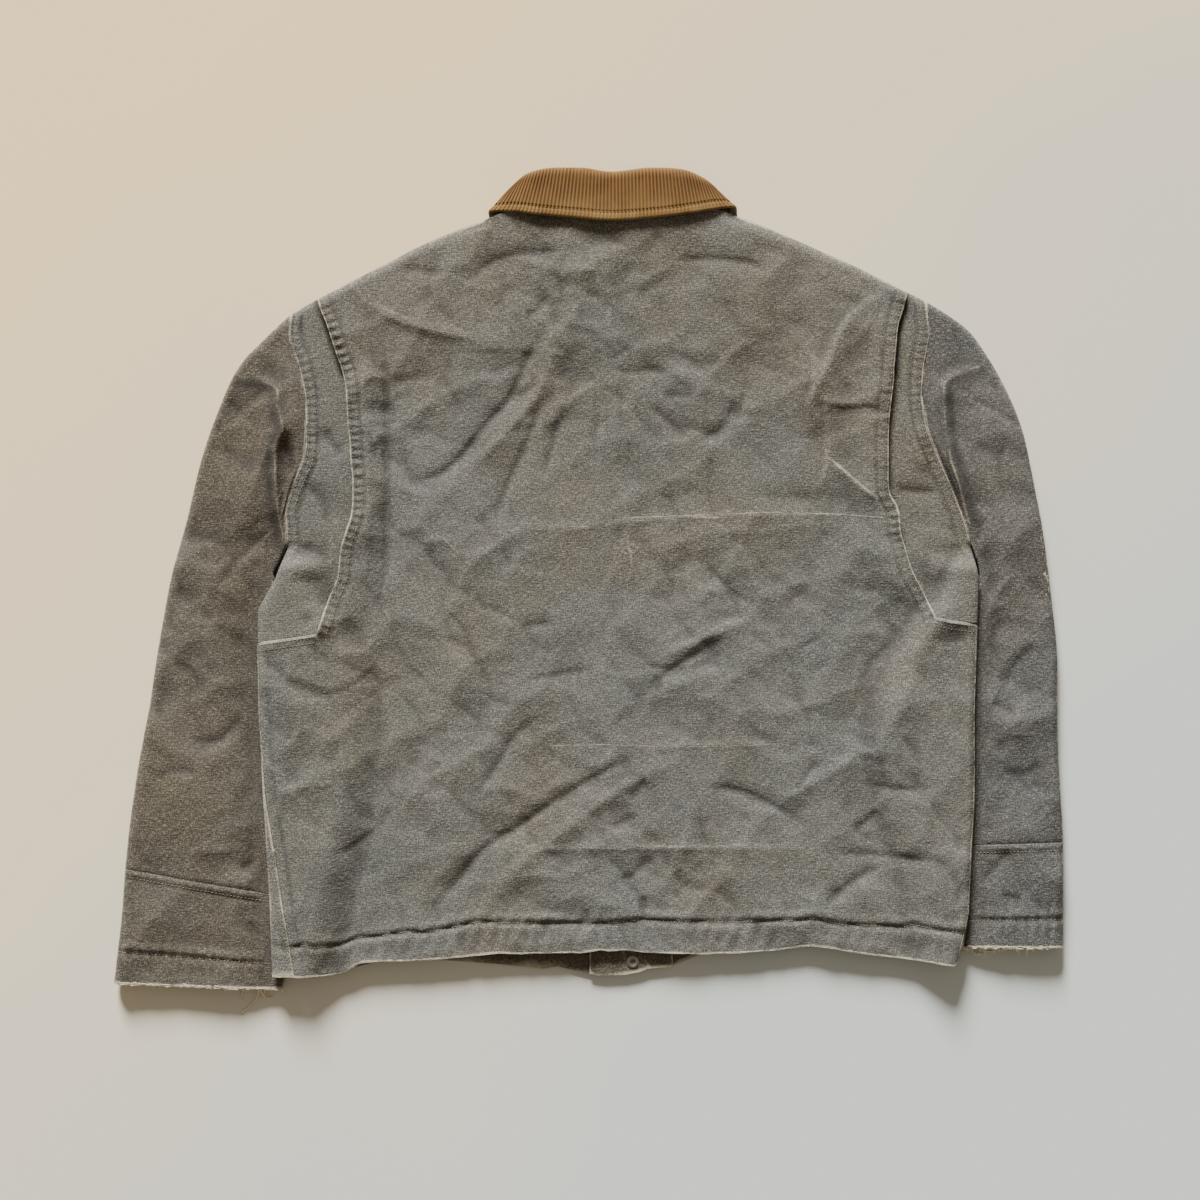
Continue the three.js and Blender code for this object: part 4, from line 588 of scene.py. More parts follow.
# materials
def linear(text):  # an sRGB hex colour as linear values
    values = [int(text[i:i + 2], 16) / 255 for i in (1, 3, 5)]
    return (*[v / 12.92 if v <= 0.04045 else ((v + 0.055) / 1.055) ** 2.4 for v in values], 1)


def addNode(tree, kind, settings, out=0):
    # one node: sockets by name or number take a value or a link, other keys are its settings
    node = tree.nodes.new("ShaderNode" + kind)
    for key, value in settings.items():
        if key == "stops":
            elements = node.color_ramp.elements
            while len(elements) < len(value):
                elements.new(0.5)
            for element, (place, colour) in zip(elements, value):
                element.position = place
                element.color = linear(colour) if isinstance(colour, str) else (colour, colour, colour, 1)
        elif isinstance(value, bpy.types.NodeSocket):
            tree.links.new(value, node.inputs[key])
        elif isinstance(key, int) or key in node.inputs:
            node.inputs[key].default_value = value
        else:
            setattr(node, key, value)
    return node.outputs[out]


def newMaterial(name):
    material = bpy.data.materials.new(name)
    material.use_nodes = True
    tree = material.node_tree
    return material, tree, tree.nodes["Principled BSDF"], functools.partial(addNode, tree)


duckLook = {"warm": "#524c3f", "middle": "#4f4f49", "cool": "#4c504d", "dark": "#262320", "slub": "#938d81",
            "faded": "#696660", "blue": "#636666", "cream": "#aaa18e", "rumple": 0.35, "roughness": 0.88}


def duckCanvas(name, look):
    # Washed cotton duck, plain weave of thick yarns with slubs; years of wear fade it in
    # patches and leave a cream core along folds, and painted shade darkens its hollows and grooves. Matt, with
    # a soft nap.
    material, tree, shader, add = newMaterial(name)
    place = add("TexCoord", {}, "Object")
    cloth = add("UVMap", {"uv_map": "cloth"})
    worn = add("Attribute", {"attribute_name": "worn"}, "Fac")
    soil = add("Attribute", {"attribute_name": "soil"}, "Fac")
    # broad fading: patches of a hand's width between warm and cool grey, warmer to the collar
    broad = add("TexNoise", {"Vector": place, "Scale": 6.5, "Detail": 3, "Roughness": 0.6})
    up = add("SeparateXYZ", {0: place}, "Y")
    broad = add("Math", {"operation": "MULTIPLY_ADD", 0: up, 1: -0.26, 2: broad})
    greys = [(0.36, look["warm"]), (0.5, look["middle"]), (0.64, look["cool"])]
    colour = add("ValToRGB", {0: broad, "stops": greys})
    patch = add("TexNoise", {"Vector": place, "Scale": 17, "Detail": 5, "Roughness": 0.68})
    patch = add("ValToRGB", {0: patch, "stops": [(0.46, 0.0), (0.7, 0.42)]})
    colour = add("Mix", {"data_type": "RGBA", 0: patch, 6: colour, 7: linear(look["faded"])}, 2)
    blue = add("TexNoise", {"Vector": place, "Scale": 9.3, "Detail": 4, "Roughness": 0.7, "Distortion": 0.6})
    blue = add("ValToRGB", {0: blue, "stops": [(0.6, 0.0), (0.78, 0.26)]})
    colour = add("Mix", {"data_type": "RGBA", 0: blue, 6: colour, 7: linear(look["blue"])}, 2)
    # slubs: short lighter yarns along the warp and the weft, about 1 mm wide as yarns are paired
    warpPlace = add("Mapping", {"Vector": cloth, "Scale": (1, 0.24, 1)})
    weftPlace = add("Mapping", {"Vector": cloth, "Scale": (0.17, 1, 1)})
    warp = add("TexNoise", {"Vector": warpPlace, "Scale": 1250, "Detail": 2, "Roughness": 0.6})
    weft = add("TexNoise", {"Vector": weftPlace, "Scale": 1150, "Detail": 2, "Roughness": 0.6})
    slubs = add("Math", {"operation": "MAXIMUM", 0: warp, 1: weft})
    light = add("ValToRGB", {0: slubs, "stops": [(0.5, 0.0), (0.72, 0.9)]})
    colour = add("Mix", {"data_type": "RGBA", 0: light, 6: colour, 7: linear(look["slub"])}, 2)
    specks = add("TexNoise", {"Vector": cloth, "Scale": 900, "Detail": 3, "Roughness": 0.7})
    specks = add("ValToRGB", {0: specks, "stops": [(0.38, 0.85), (0.52, 0.0)]})
    colour = add("Mix", {"data_type": "RGBA", 0: specks, 6: colour, 7: linear(look["dark"])}, 2)
    # flecks: bright ends of yarn where the nap has worn through, a millimetre or so across
    flecks = add("TexNoise", {"Vector": cloth, "Scale": 610, "Detail": 1, "Roughness": 0.5})
    flecks = add("ValToRGB", {0: flecks, "stops": [(0.69, 0.0), (0.77, 0.8)]})
    colour = add("Mix", {"data_type": "RGBA", 0: flecks, 6: colour, 7: linear(look["cream"])}, 2)
    # painted shade in the hollows, grooves and beside folds; creases and edges are worn down to the cream core
    soil = add("Math", {"operation": "MULTIPLY", 0: soil, 1: 0.85})
    colour = add("Mix", {"data_type": "RGBA", 0: soil, 6: colour, 7: linear(look["dark"])}, 2)
    breakUp = add("TexNoise", {"Vector": cloth, "Scale": 260, "Detail": 4, "Roughness": 0.75})
    core = add("Math", {"operation": "MULTIPLY_ADD", 0: worn, 1: 1.4, 2: breakUp})
    core = add("Math", {"operation": "SUBTRACT", 0: core, 1: 0.75})
    core = add("ValToRGB", {0: core, "stops": [(0.05, 0.0), (0.75, 1.0)]})
    colour = add("Mix", {"data_type": "RGBA", 0: core, 6: colour, 7: linear(look["cream"])}, 2)
    tree.links.new(colour, shader.inputs["Base Color"])
    # weave relief: yarns 1.4 mm apart, drawn coarser than real duck so that they show
    yarn = {"Scale": 700, "Detail": 1, "Roughness": 0.5}
    warpRelief = add("TexNoise", {"Vector": add("Mapping", {"Vector": cloth, "Scale": (1, 0.35, 1)}), **yarn})
    weftRelief = add("TexNoise", {"Vector": add("Mapping", {"Vector": cloth, "Scale": (0.35, 1, 1)}), **yarn})
    weave = add("Math", {"operation": "ADD", 0: warpRelief, 1: weftRelief})
    rumple = add("TexNoise", {"noise_type": "RIDGED_MULTIFRACTAL", "Vector": place, "Scale": 42, "Detail": 4,
                              "Roughness": 0.55, "Distortion": 0.5})
    low = add("Bump", {"Strength": look["rumple"], "Distance": 0.0012, "Height": rumple})
    high = add("Bump", {"Strength": 0.6, "Distance": 0.0006, "Height": weave, "Normal": low})
    tree.links.new(high, shader.inputs["Normal"])
    shader.inputs["Roughness"].default_value = look["roughness"]
    shader.inputs["Specular IOR Level"].default_value = 0.25
    shader.inputs["Sheen Weight"].default_value = 0.05
    shader.inputs["Sheen Roughness"].default_value = 0.6
    return material


canvasBack = duckCanvas("wornDuckCanvas", duckLook)
canvasSleeve = {  # the left sleeve has faded brown, the right one grey
    "left": duckCanvas("wornDuckCanvasLeftSleeve", {**duckLook, "warm": "#433b2b", "middle": "#413a2e",
                                                    "cool": "#403c33", "slub": "#877f6d"}),
    "right": duckCanvas("wornDuckCanvasRightSleeve", {**duckLook, "warm": "#423e35", "middle": "#403e39",
                                                      "cool": "#3d3f3e", "slub": "#86847c"})}
canvasInside = duckCanvas("duckCanvasReverse", {**duckLook, "warm": "#4a4335", "middle": "#4b463a",
                                                "cool": "#4c4940", "dark": "#211b13", "faded": "#645c4c",
                                                "blue": "#5a564c", "slub": "#877e6b"})
bodyCloth = [canvasBack, canvasInside]


def simpleCloth(name, base, light, roughness, scale):
    # cotton yarn or raw edge: matt fibre with lighter and darker runs a few millimetres long
    material, tree, shader, add = newMaterial(name)
    place = add("TexCoord", {}, "Object")
    runs = add("TexNoise", {"Vector": place, "Scale": scale, "Detail": 4, "Roughness": 0.7})
    fibre = add("TexNoise", {"Vector": place, "Scale": scale * 6, "Detail": 2, "Roughness": 0.6})
    colour = add("ValToRGB", {0: runs, "stops": [(0.35, base), (0.68, light)]})
    tree.links.new(colour, shader.inputs["Base Color"])
    tree.links.new(add("Bump", {"Strength": 0.4, "Distance": 0.0003, "Height": fibre}), shader.inputs["Normal"])
    shader.inputs["Roughness"].default_value = roughness
    shader.inputs["Specular IOR Level"].default_value = 0.2
    return material


collarThread = simpleCloth("collarThread", "#4f3714", "#7c5c2c", 0.8, 500)
creamCore = simpleCloth("wornCottonCore", "#7b7363", "#bdb39d", 0.92, 320)
stitchThread = simpleCloth("stitchThread", "#6a6354", "#a09780", 0.8, 500)
rawEdge = simpleCloth("frayedCotton", "#d8c8a2", "#fbf0d0", 0.92, 380)


def corduroyCloth():
    # Cotton corduroy, 8 wales to the inch: a cut pile ridge every 3.2 mm, with a painted highlight on its
    # crest and painted shade in the cord line between; rubbed bald in places, lighter at the fold.
    material, tree, shader, add = newMaterial("cottonCorduroy")
    place = add("TexCoord", {}, "Object")
    cloth = add("UVMap", {"uv_map": "cloth"})
    wale = add("Attribute", {"attribute_name": "wale"}, "Fac")
    worn = add("Attribute", {"attribute_name": "worn"}, "Fac")
    fibre = add("TexNoise", {"Vector": cloth, "Scale": 900, "Detail": 3, "Roughness": 0.7})
    blotch = add("TexNoise", {"Vector": place, "Scale": 42, "Detail": 4, "Roughness": 0.65})
    # the wale's profile sets the colour: painted highlight on the crests, painted shade in the cord lines
    crest = add("Math", {"operation": "MULTIPLY", 0: wale, 1: 0.84})
    height = add("Math", {"operation": "MULTIPLY_ADD", 0: fibre, 1: 0.38, 2: crest})
    colour = add("ValToRGB", {0: height, "stops": [(0.12, "#180c02"), (0.4, "#3f260b"), (0.78, "#573813"),
                                                   (1.0, "#735225")]})
    faded = add("ValToRGB", {0: blotch, "stops": [(0.4, 0.0), (0.66, 0.5)]})
    colour = add("Mix", {"data_type": "RGBA", 0: faded, 6: colour, 7: linear("#6a4b22")}, 2)
    worn = add("Math", {"operation": "MULTIPLY", 0: worn, 1: 0.75})
    colour = add("Mix", {"data_type": "RGBA", 0: worn, 6: colour, 7: linear("#8a6f42")}, 2)
    tree.links.new(colour, shader.inputs["Base Color"])
    tree.links.new(add("Bump", {"Strength": 0.5, "Distance": 0.0004, "Height": fibre}), shader.inputs["Normal"])
    shader.inputs["Roughness"].default_value = 0.9
    shader.inputs["Specular IOR Level"].default_value = 0.2
    shader.inputs["Sheen Weight"].default_value = 0.1
    shader.inputs["Sheen Roughness"].default_value = 0.5
    return material


corduroy = corduroyCloth()


def agedStudMetal():
    # plated brass stud, dulled by washing: brushed highlights and dark tarnish in spots
    material, tree, shader, add = newMaterial("agedStudMetal")
    place = add("TexCoord", {}, "Object")
    spots = add("TexNoise", {"Vector": place, "Scale": 600, "Detail": 4, "Roughness": 0.7})
    tree.links.new(add("ValToRGB", {0: spots, "stops": [(0.35, "#5a5347"), (0.6, "#a39b8a")]}),
                   shader.inputs["Base Color"])
    dullness = add("ValToRGB", {0: spots, "stops": [(0.35, 0.6), (0.65, 0.32)]})
    tree.links.new(dullness, shader.inputs["Roughness"])
    shader.inputs["Metallic"].default_value = 1.0
    return material


studMetal = agedStudMetal()
print("materials made")


# grids of points
foldSteps = np.array([0, .1, .4, .9, 1.6, 2.6, 4, 6, 8])  # mm in from a folded edge


def spaced(length, step, start=foldSteps, ends=False):
    # distances from 0 to length: fine by the fold at the start (and the end), then even
    tail = length - start[::-1] if ends else np.array([length])
    count = max(2, int(round((tail[0] - start[-1]) / step)))
    count += (-(len(start) - 1 + count + len(tail) - 1)) % coarse
    return np.concatenate([start, np.linspace(start[-1], tail[0], count + 1)[1:-1], tail])


def wearAndShadeOf(z, x, y, edges, seed, dark=(), teeth=0.0):
    # worn: crests a little, edges a lot, broken up along their length; soil: painted shade in the hollows and
    # along the dark lines
    around = z.copy()
    for _ in range(10):
        p = np.pad(around, 1, mode="edge")
        around = (p[:-2, 1:-1] + p[2:, 1:-1] + p[1:-1, :-2] + p[1:-1, 2:]) / 4
    above = z - around
    worn = 0.16 * np.clip(above / 0.6, 0, 1)
    for line, reach, amount in edges:
        d, _, along = pathDistance(line, x, y)
        s = along * lineLength(line)
        patchy = 0.72 + 0.5 * noise(s, 0 * s + seed, 13, seed) + 0.3 * noise(s, 0 * s, 41, seed + 2)
        worn = np.maximum(worn, amount * np.clip(patchy, 0.1, 1.1) * hump(d, reach))
    # painted shade in the hollows of the relief
    soil = np.clip(-above / 0.5, 0, 1) * 0.5
    for line, reach, amount in dark:
        d = pathDistance(line, x, y)[0]
        soil = np.maximum(soil, amount * (0.85 + 0.3 * noise(x, y, 7, seed)) * hump(d, reach))
    # teeth: the puckers of a sewn band are rubbed light on top, with painted shade between them
    worn = np.maximum(worn, 0.42 * np.clip(teeth, 0, 1))
    soil = np.maximum(soil, 0.6 * np.clip(-np.asarray(teeth), 0, 1))
    return {"worn": np.clip(worn, 0, 1), "soil": np.clip(soil, 0, 1)}


def gridArea(points):  # square metres of a grid in mm
    a = points[1:, :-1] - points[:-1, :-1]
    b = points[:-1, 1:] - points[:-1, :-1]
    return np.linalg.norm(np.cross(a, b), axis=2).sum() / 1e6


def clipped(line, low=-60, high=400):  # the stretch of a line between two heights
    line = fineLine(line, 3)
    return line[(line[:, 1] > low) & (line[:, 1] < high)]


def sideLine(side, inBy, heights):  # points on a side of the body, or some way in from it
    return [(float(sideEdge(side, v)) + inBy * inwardOf[side], v) for v in heights]


hemAt = lambda which, x: straight(outlines["hem" + which], x)
footY = lambda x: straight(gussetFoot, x)
pieces = {}


def keepPiece(node, piece, area):
    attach(piece, "root")
    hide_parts(node)
    pieces[node] = piece
    print(node, "made,", len(piece.data.polygons), "faces, area", round(float(area), 4))


# back: one panel with topstitched pleat edges beside the gussets, and a hem
# light worn lines: how much shows, path
fadedCreases = [
    (.4, [(-99, 43), (-22, 45), (63, 54), (154, 57), (266, 59)]), (.32, [(-28, 42), (-12, -14), (-3, -51)]),
    (.42, [(35, 38), (39, 14), (32, -23), (14, -51)]), (.36, [(93, 47), (74, 23), (61, 0), (54, -28)]),
    (.4, [(-136, 42), (-113, 19)]), (.34, [(-145, 0), (-126, -32)]), (.36, [(-188, -19), (-173, -47)]),
    (.36, [(172, -4), (168, -32), (150, -50)]), (.6, [(215, 110), (234, 94), (266, 66)]),
    (.4, [(215, 127), (213, 98), (203, 66)]), (.3, [(-33, 234), (-36, 197), (-71, 162)]),
    (.3, [(-38, 168), (-62, 117), (-90, 42)]), (.28, [(-71, 162), (-126, 104)]),
    (.3, [(-188, 244), (-132, 225), (-75, 211)]), (.3, [(14, 192), (46, 209)]),
    (.3, [(-117, 257), (-80, 285), (-33, 295)]), (.34, [(210, 183), (234, 215), (261, 248)]),
    (.34, [(-40, -150), (20, -149), (90, -151), (181, -149)]), (.34, [(-130, -237), (-60, -240),
        (120, -240)]),
    (.3, [(-273, -188), (-219, -182)]), (.34, [(96, -57), (120, -40), (154, -34)])]
# width, upper and lower: size of the even grid between the pleats and above and below the gussets'
# foot; reach: that of the sides beyond the pleats; guess: heights of the top, the foot and the hem
# that the rounds start from
backLook = {"step": 2.45, "sideCells": 24, "thickness": 1.8, "edgeRound": 1.1, "upper": 380, "lower": 320,
            "width": 555.0, "reach": 60, "guess": (320.0, -45.0, -370.0), "rounds": 7, "underPleat": 3}


def backPanel():
    look = backLook
    edgeSteps = np.array([0, .3, .8, 1.5, 2.4, 3.8, 6, 8.2, 10.6])
    share = spaced(look["width"], look["step"], edgeSteps, ends=True) / look["width"]
    sideShares = np.linspace(1, 0, look["sideCells"] + 1)[:-1]
    rightShares = (spaced(look["reach"], look["reach"] / look["sideCells"]) / look["reach"])[::-1][1:]
    upper = spaced(look["upper"], look["step"])
    lower = spaced(look["lower"], look["step"], np.array([0.]))
    rowsUpper = len(upper) - 1
    down = np.concatenate([upper / look["upper"], 1 + lower[1:] / look["lower"]])
    rows, columns = len(down), len(sideShares) + len(share) + len(rightShares)
    left, right = slice(len(sideShares)), slice(len(sideShares) + len(share), None)
    centre = slice(left.stop, right.start)
    s = down[:, None] * np.ones(columns)
    x = np.zeros((rows, columns))
    top, foot, hem = look["guess"]
    y = mix(top, foot, np.minimum(s, 1)) + (s > 1) * (s - 1) * (hem - foot)
    lastStep = foldSteps[-1]
    for _ in range(look["rounds"]):
        pleatLeft, pleatRight = pleatX("left", y), pleatX("right", y)
        edgeLeft = sideEdge("left", np.minimum(y, layer["notchLeft"])) + seamIn(y) + layer["seamGap"]
        x[:, left] = mix(pleatLeft[:, left], edgeLeft[:, left], sideShares)
        x[:, centre] = (mix(pleatLeft, pleatRight, 0.5)[:, centre]
                        + (share - 0.5) * (pleatRight - pleatLeft)[:, centre])
        x[:, right] = mix(sideEdge("right", y)[:, right], pleatRight[:, right], rightShares)
        top = topEdge(backNeck, x)
        inTop = upper[np.minimum(np.arange(rows), rowsUpper)][:, None]
        scale = (top - lastStep - footY(x)) / (look["upper"] - lastStep)
        yUpper = np.where(inTop <= lastStep, top - inTop, top - lastStep - (inTop - lastStep) * scale)
        yLower = mix(footY(x) - layer["seamGap"], hemAt("Back", x), np.clip(s - 1, 0, 1))
        y = np.where(s <= 1, yUpper, yLower)
    z = upperZ(backTop(x, y), x, y)
    # the pleat edges are folded, so they round over; the turned-in cloth makes them thinner
    toPleat = np.minimum(np.abs(x - pleatX("left", y)), np.abs(x - pleatX("right", y)))
    above = (np.arange(rows) <= rowsUpper)[:, None]
    z -= above * look["edgeRound"] * np.clip(1 - toPleat / 2.4, 0, 1) ** 2
    atSide = np.ones(columns, bool)
    atSide[centre] = False
    z[above & atSide] -= look["underPleat"]
    # seam under each gusset: the back's edge is turned in and lies a little proud
    z += 0.5 * hump(footY(x) - y - 3, 5) * (~above) * atSide
    # felled side seam on the left: two stitched rows press it down between ridges
    fromSeam = x - (sideEdge("left", y) + seamIn(y))
    z += np.where((x < -150) & ~above, 0.8 * hump(fromSeam - 4, 3.2) - 0.5 * hump(fromSeam - 9.5, 1.6), 0)
    stitched, sideOf, _ = pathDistance(outlines["hemStitch"], x, y)
    inHem = smooth((stitched - 1) / 3) * (sideOf < 0)
    wall = look["thickness"] - above * 0.9 * np.clip(1 - toPleat / 2.6, 0, 1) + 0.9 * inHem
    points = np.stack([x, y, z], axis=2)
    keep = allCells(points)
    keep[:rowsUpper // coarse, :left.stop // coarse] = False
    keep[:rowsUpper // coarse, (right.start - 1) // coarse:] = False
    edges = [(pleatLine["left"], 1.6, 0.8), (pleatLine["right"], 1.6, 0.8), (outlines["hemBack"], 2, 0.8),
             (shoulderLeft, 2.4, 0.55), (shoulderRight, 2.4, 0.55), (gussetFoot[:3], 1.8, 0.35),
             (gussetFoot[3:], 1.8, 0.35), (sideLine("right", 0, (-45, -120, -200, -280, -340)), 2.6, 0.6)]
    edges += [(path, 1.5, amount) for amount, path in fadedCreases]
    # painted shadow under the cloth that overhangs the hem's stitching, and painted shade in the grooves beside
    # the pleats' stitching
    dark = [(outlines["hemStitch"], 1.25, 0.85)]
    teeth = 0
    for k, (side, inward) in enumerate(inwardOf.items()):
        dark += [(clipped(offsetLine(pleatLine[side], by * inward)), 1.3, 0.75) for by in (2.4, 10.6)]
        band = offsetLine(pleatLine[side], 5.6 * inward)
        teeth = teeth + pucker(band, x, y, 3.6, foldLook["pleatPitch"], 60 + k)
    teeth = teeth * (y > layer["notchRight"] - 10)
    teeth = teeth + 0.9 * pucker(offsetLine(outlines["hemStitch"], -8), x, y, 9, 12, 66)
    piece = clothShell("back", points, bodyCloth, wall, keep,
                       attributes=wearAndShadeOf(z, x, y, edges, 5, dark, teeth))
    keepPiece("back_panel", piece, gridArea(points[rowsUpper:]) + gridArea(points[:rowsUpper + 1, centre]))


backPanel()


# gussets: the action back's side cloth, from the armhole to under the pleat edge
gussetLook = {"step": 2.5, "thickness": 1.6, "foot": {"left": -56.7, "right": -39.7}, "reach": 60,
              "cells": 26, "rounds": 8}


def sideBoundary(side, lowest):
    # from the shoulder end down the armhole and the side fold to a height
    heights = [v for v in (1, -28, -57, -122, -200, -250, -300, -330, -358) if v > lowest + 3] + [lowest]
    return np.array([tuple(p) for p in armholeLine[side]] + sideLine(side, 0, heights), float)


def gusset(side):
    look, inward, armhole = gussetLook, inwardOf[side], armholeLine[side]
    boundary = sideBoundary(side, look["foot"][side])
    edge = alongLine(boundary, spaced(lineLength(boundary), look["step"]))
    start = np.array([0, .4, 1, 2, 3.5, 5.5, 8])
    across = spaced(look["reach"], look["reach"] / look["cells"], start) / look["reach"]
    edgeX, edgeY = edge[:, :1], edge[:, 1:]
    shoulder = shoulderAt[side]
    share = np.clip((shoulder(edgeX) - edgeY) / (shoulder(edgeX) - footY(edgeX)), 0, 1)
    x, y = edgeX + 0 * across, edgeY + 0 * across
    for _ in range(look["rounds"]):
        tuck = mix(-0.6, layer["pleatTuck"], smooth((shoulder(x) - y - 9) / 25))
        x = mix(edgeX, pleatX(side, y) + inward * tuck, across)
        y = mix(shoulder(x), footY(x), share)
    top = gussetTop(x, y) - 0.4 * smooth(((x - pleatX(side, y)) * inward + 4) / 12)
    fromArmhole = pathDistance(armhole, x, y)[0]
    top += 0.8 * (1 - smooth((fromArmhole - 8.5) / 2.2)) - 0.5 * hump(fromArmhole - 11, 1.5)
    top += 0.8 * pucker(offsetLine(armhole, 5 * inward), x, y, 5.5, foldLook["armPitch"], 80)
    foot = [(float(a), float(footY(a))) for a in (x[-1].min(), x[-1].mean(), x[-1].max())]
    top += 0.4 * pucker(foot, x, y, 9, 9, 83)
    z = upperZ(top, x, y)
    points = np.stack([x, y, z], axis=2)
    teeth = pucker(offsetLine(armhole, 6 * inward), x, y, 3.6, foldLook["armPitch"], 80)
    # painted shade in the stitched grooves beside the armhole, and a painted shadow under the pleat's edge
    dark = [(offsetLine(armhole, 10.6 * inward), 1.4, 0.75), (offsetLine(armhole, 2.6 * inward), 1.2, 0.7),
            (clipped(offsetLine(pleatLine[side], -1.5 * inward), 185, 262), 3, 1)]
    edges = [(armhole, 1.7, 0.7), (shoulderLeft if side == "left" else shoulderRight, 2.4, 0.5)]
    piece = clothShell("gusset" + side.title(), points, bodyCloth, look["thickness"], up=inward,
                       attributes=wearAndShadeOf(z, x, y, edges, 17, dark, teeth))
    keepPiece("gusset_" + side, piece, gridArea(points))


gusset("left")
gusset("right")


# fronts: under the back; the left one comes round its fold to the felled side seam
frontLook = {"step": 3.6, "inStep": 4.4, "thickness": 1.8, "hem": 3.2, "hemDepth": 27, "reach": 330,
             "lowest": {"left": -357, "right": -344}, "middle": {"left": 60.0, "right": 60.5},
             "wrap": {"left": [.02, .06, .12, .2, .3, .44, .58, .72, .86, 1], "right": []}}


def front(side):
    look, inward, lastStep = frontLook, inwardOf[side], foldSteps[-1]
    boundary = sideBoundary(side, look["lowest"][side])
    edge = alongLine(boundary, spaced(lineLength(boundary), look["step"]))
    edgeX, edgeY = edge[:, :1], edge[:, 1:]
    wrap = np.array(look["wrap"][side])
    inSteps = spaced(look["reach"], look["inStep"])[::-1]
    extra = inSteps[1] + (inSteps[0] - inSteps[1]) * np.linspace(1, 0, -len(wrap) % coarse + 2)[1:-1]
    inSteps = np.concatenate([inSteps[:1], extra, inSteps[1:]])
    flat = inSteps > lastStep + 0.01
    width = np.abs(look["middle"][side] - edgeX)
    stretched = lastStep + (inSteps - lastStep) * (width - lastStep) / (look["reach"] - lastStep)
    scaled = np.where(flat, stretched, inSteps)
    top = topEdge(frontNeck, edgeX)
    share = np.clip((top - edgeY) / (top - hemAt("Front", edgeX)), 0, 1)
    x = edgeX + inward * scaled
    y = mix(edgeY + 0 * x, mix(topEdge(frontNeck, x), hemAt("Front", x), share), smooth(scaled / 30))
    z = underZ(x, y)
    if len(wrap):
        xWrap = edgeX + inward * seamIn(edgeY) * wrap
        yWrap = edgeY + 0 * xWrap
        zWrap = upperZ(backTop(xWrap, yWrap), xWrap, yWrap)
        x, y, z = (np.concatenate([a, b], axis=1) for a, b in ((x, xWrap), (y, yWrap), (z, zWrap)))
    points = np.stack([x, y, z], axis=2)
    keep = allCells(points)
    if len(wrap):
        firstRow = int(np.argmax(edge[:, 1] < layer["notchLeft"])) // coarse
        keep[:firstRow, (len(inSteps) - 1) // coarse:] = False
    inHem = smooth((hemAt("Front", x) + look["hemDepth"] - y) / 3)
    inHem = inHem * (np.arange(x.shape[1]) < len(inSteps) - 6)
    wall = look["thickness"] + (look["hem"] - look["thickness"]) * inHem
    seam = [(float(sideEdge(side, v) + inward * seamIn(v)), v) for v in (-57, -120, -200, -280, -355)]
    edges = [(sideLine(side, 0, (-57, -120, -200, -280, -340)), 2.5, 0.7), (seam, 1.8, 0.85),
             (outlines["hemFront"], 3, 0.8)]
    facing = gridNormals(points) * inward
    facing[:, :int(flat.sum())] = (0, 0, -1)
    piece = clothShell("front" + side.title(), points, bodyCloth, wall, keep, inward,
                       attributes=wearAndShadeOf(z, x, y, edges, 23), facing=facing)
    keepPiece("front_" + side, piece, gridArea(points))


front("left")
front("right")


# placket: a strip inside the right front's edge, for the stud sockets
placketLook = {"left": 1, "right": 76, "rows": 136, "columns": 31, "height": 4.7, "overHem": 1.2}


def placket():
    look = placketLook
    x = np.linspace(look["left"], look["right"], look["columns"]) + np.zeros((look["rows"], 1))
    share = np.linspace(0, 1, look["rows"])[:, None]
    y = mix(straight(frontNeck, x) - 4, hemAt("Front", x) + 0.5, share)
    overHem = smooth((hemAt("Front", x) + 50 - y) / 16) * look["overHem"]
    z = overWings(x, y) + look["height"] + overHem + smooth((y - 128) / 20) * 1.2
    fromEdge = np.minimum(x - look["left"], look["right"] - x)
    z -= 0.25 * hump(fromEdge - 4, 0.9)
    points = np.stack([x, y, z], axis=2)
    edges = [([(1, 240), (1, -360)], 1.8, 0.7), ([(76, 250), (76, -355)], 1.8, 0.7),
             (outlines["hemFront"], 3, 0.8), ([(30, -325), (35, -358)], 1.5, 0.85),
             ([(45, -338), (58, -354)], 1.5, 0.85)]
    piece = clothShell("placketStrip", points, [canvasInside, canvasInside],
                       attributes=wearAndShadeOf(z, x, y, edges, 29))
    keepPiece("placket", piece, gridArea(points))


placket()


# sleeves: a flattened tube from the armhole to the double seam, and a lower one with the cuff
sleeveFlap = {"left": 0, "right": 10}  # rows of the crease table
sleeveLook = {"step": 2.5, "thickness": 1.8, "hem": 3.2, "seamAt": 11, "hemAt": 12.44, "cuffAt": 13,
              "least": 6.6, "length": 160, "rowLength": 48, "crumple": {"left": 43, "right": 47},
              "shade": {"left": 0.5, "right": 0.35}}


def sleeveEnds(side, at):  # outer end x, y and inner end x, y of the tube at a row number
    return [rowCurve(sleeveRows[side], k, at) for k in range(4)]


def sleevePlan(side, at, share, outwardBy=0.4):
    # the middle line of the tube's section: at is the row number, share goes from the outer fold in
    ends = sleeveEnds(side, at)
    curve = np.clip(rowCurve(sleeveRows[side], 4, at), 0, 1)
    arm = armholeLine[side]
    gone = runOf(arm)
    ax, ay = np.interp(share * gone[-1], gone, arm[:, 0]), np.interp(share * gone[-1], gone, arm[:, 1])
    bendX, bendY = ax - mix(arm[0, 0], arm[-1, 0], share), ay - mix(arm[0, 1], arm[-1, 1], share)
    return (mix(ends[0], ends[2], share) + bendX * curve - inwardOf[side] * outwardBy,
            mix(ends[1], ends[3], share) + bendY * curve)


def sleeveLine(side, at, share, count):
    # at and share may each be one value or the first and last of an even run
    spread = lambda value: np.linspace(*(value if isinstance(value, tuple) else (value, value)), count)
    return np.stack(sleevePlan(side, spread(at), spread(share)), axis=1)


sleeveLines = {side: {name: sleeveLine(side, sleeveLook[name + "At"], (0, 1), 24)
                      for name in ("seam", "hem", "cuff")} for side in inwardOf}


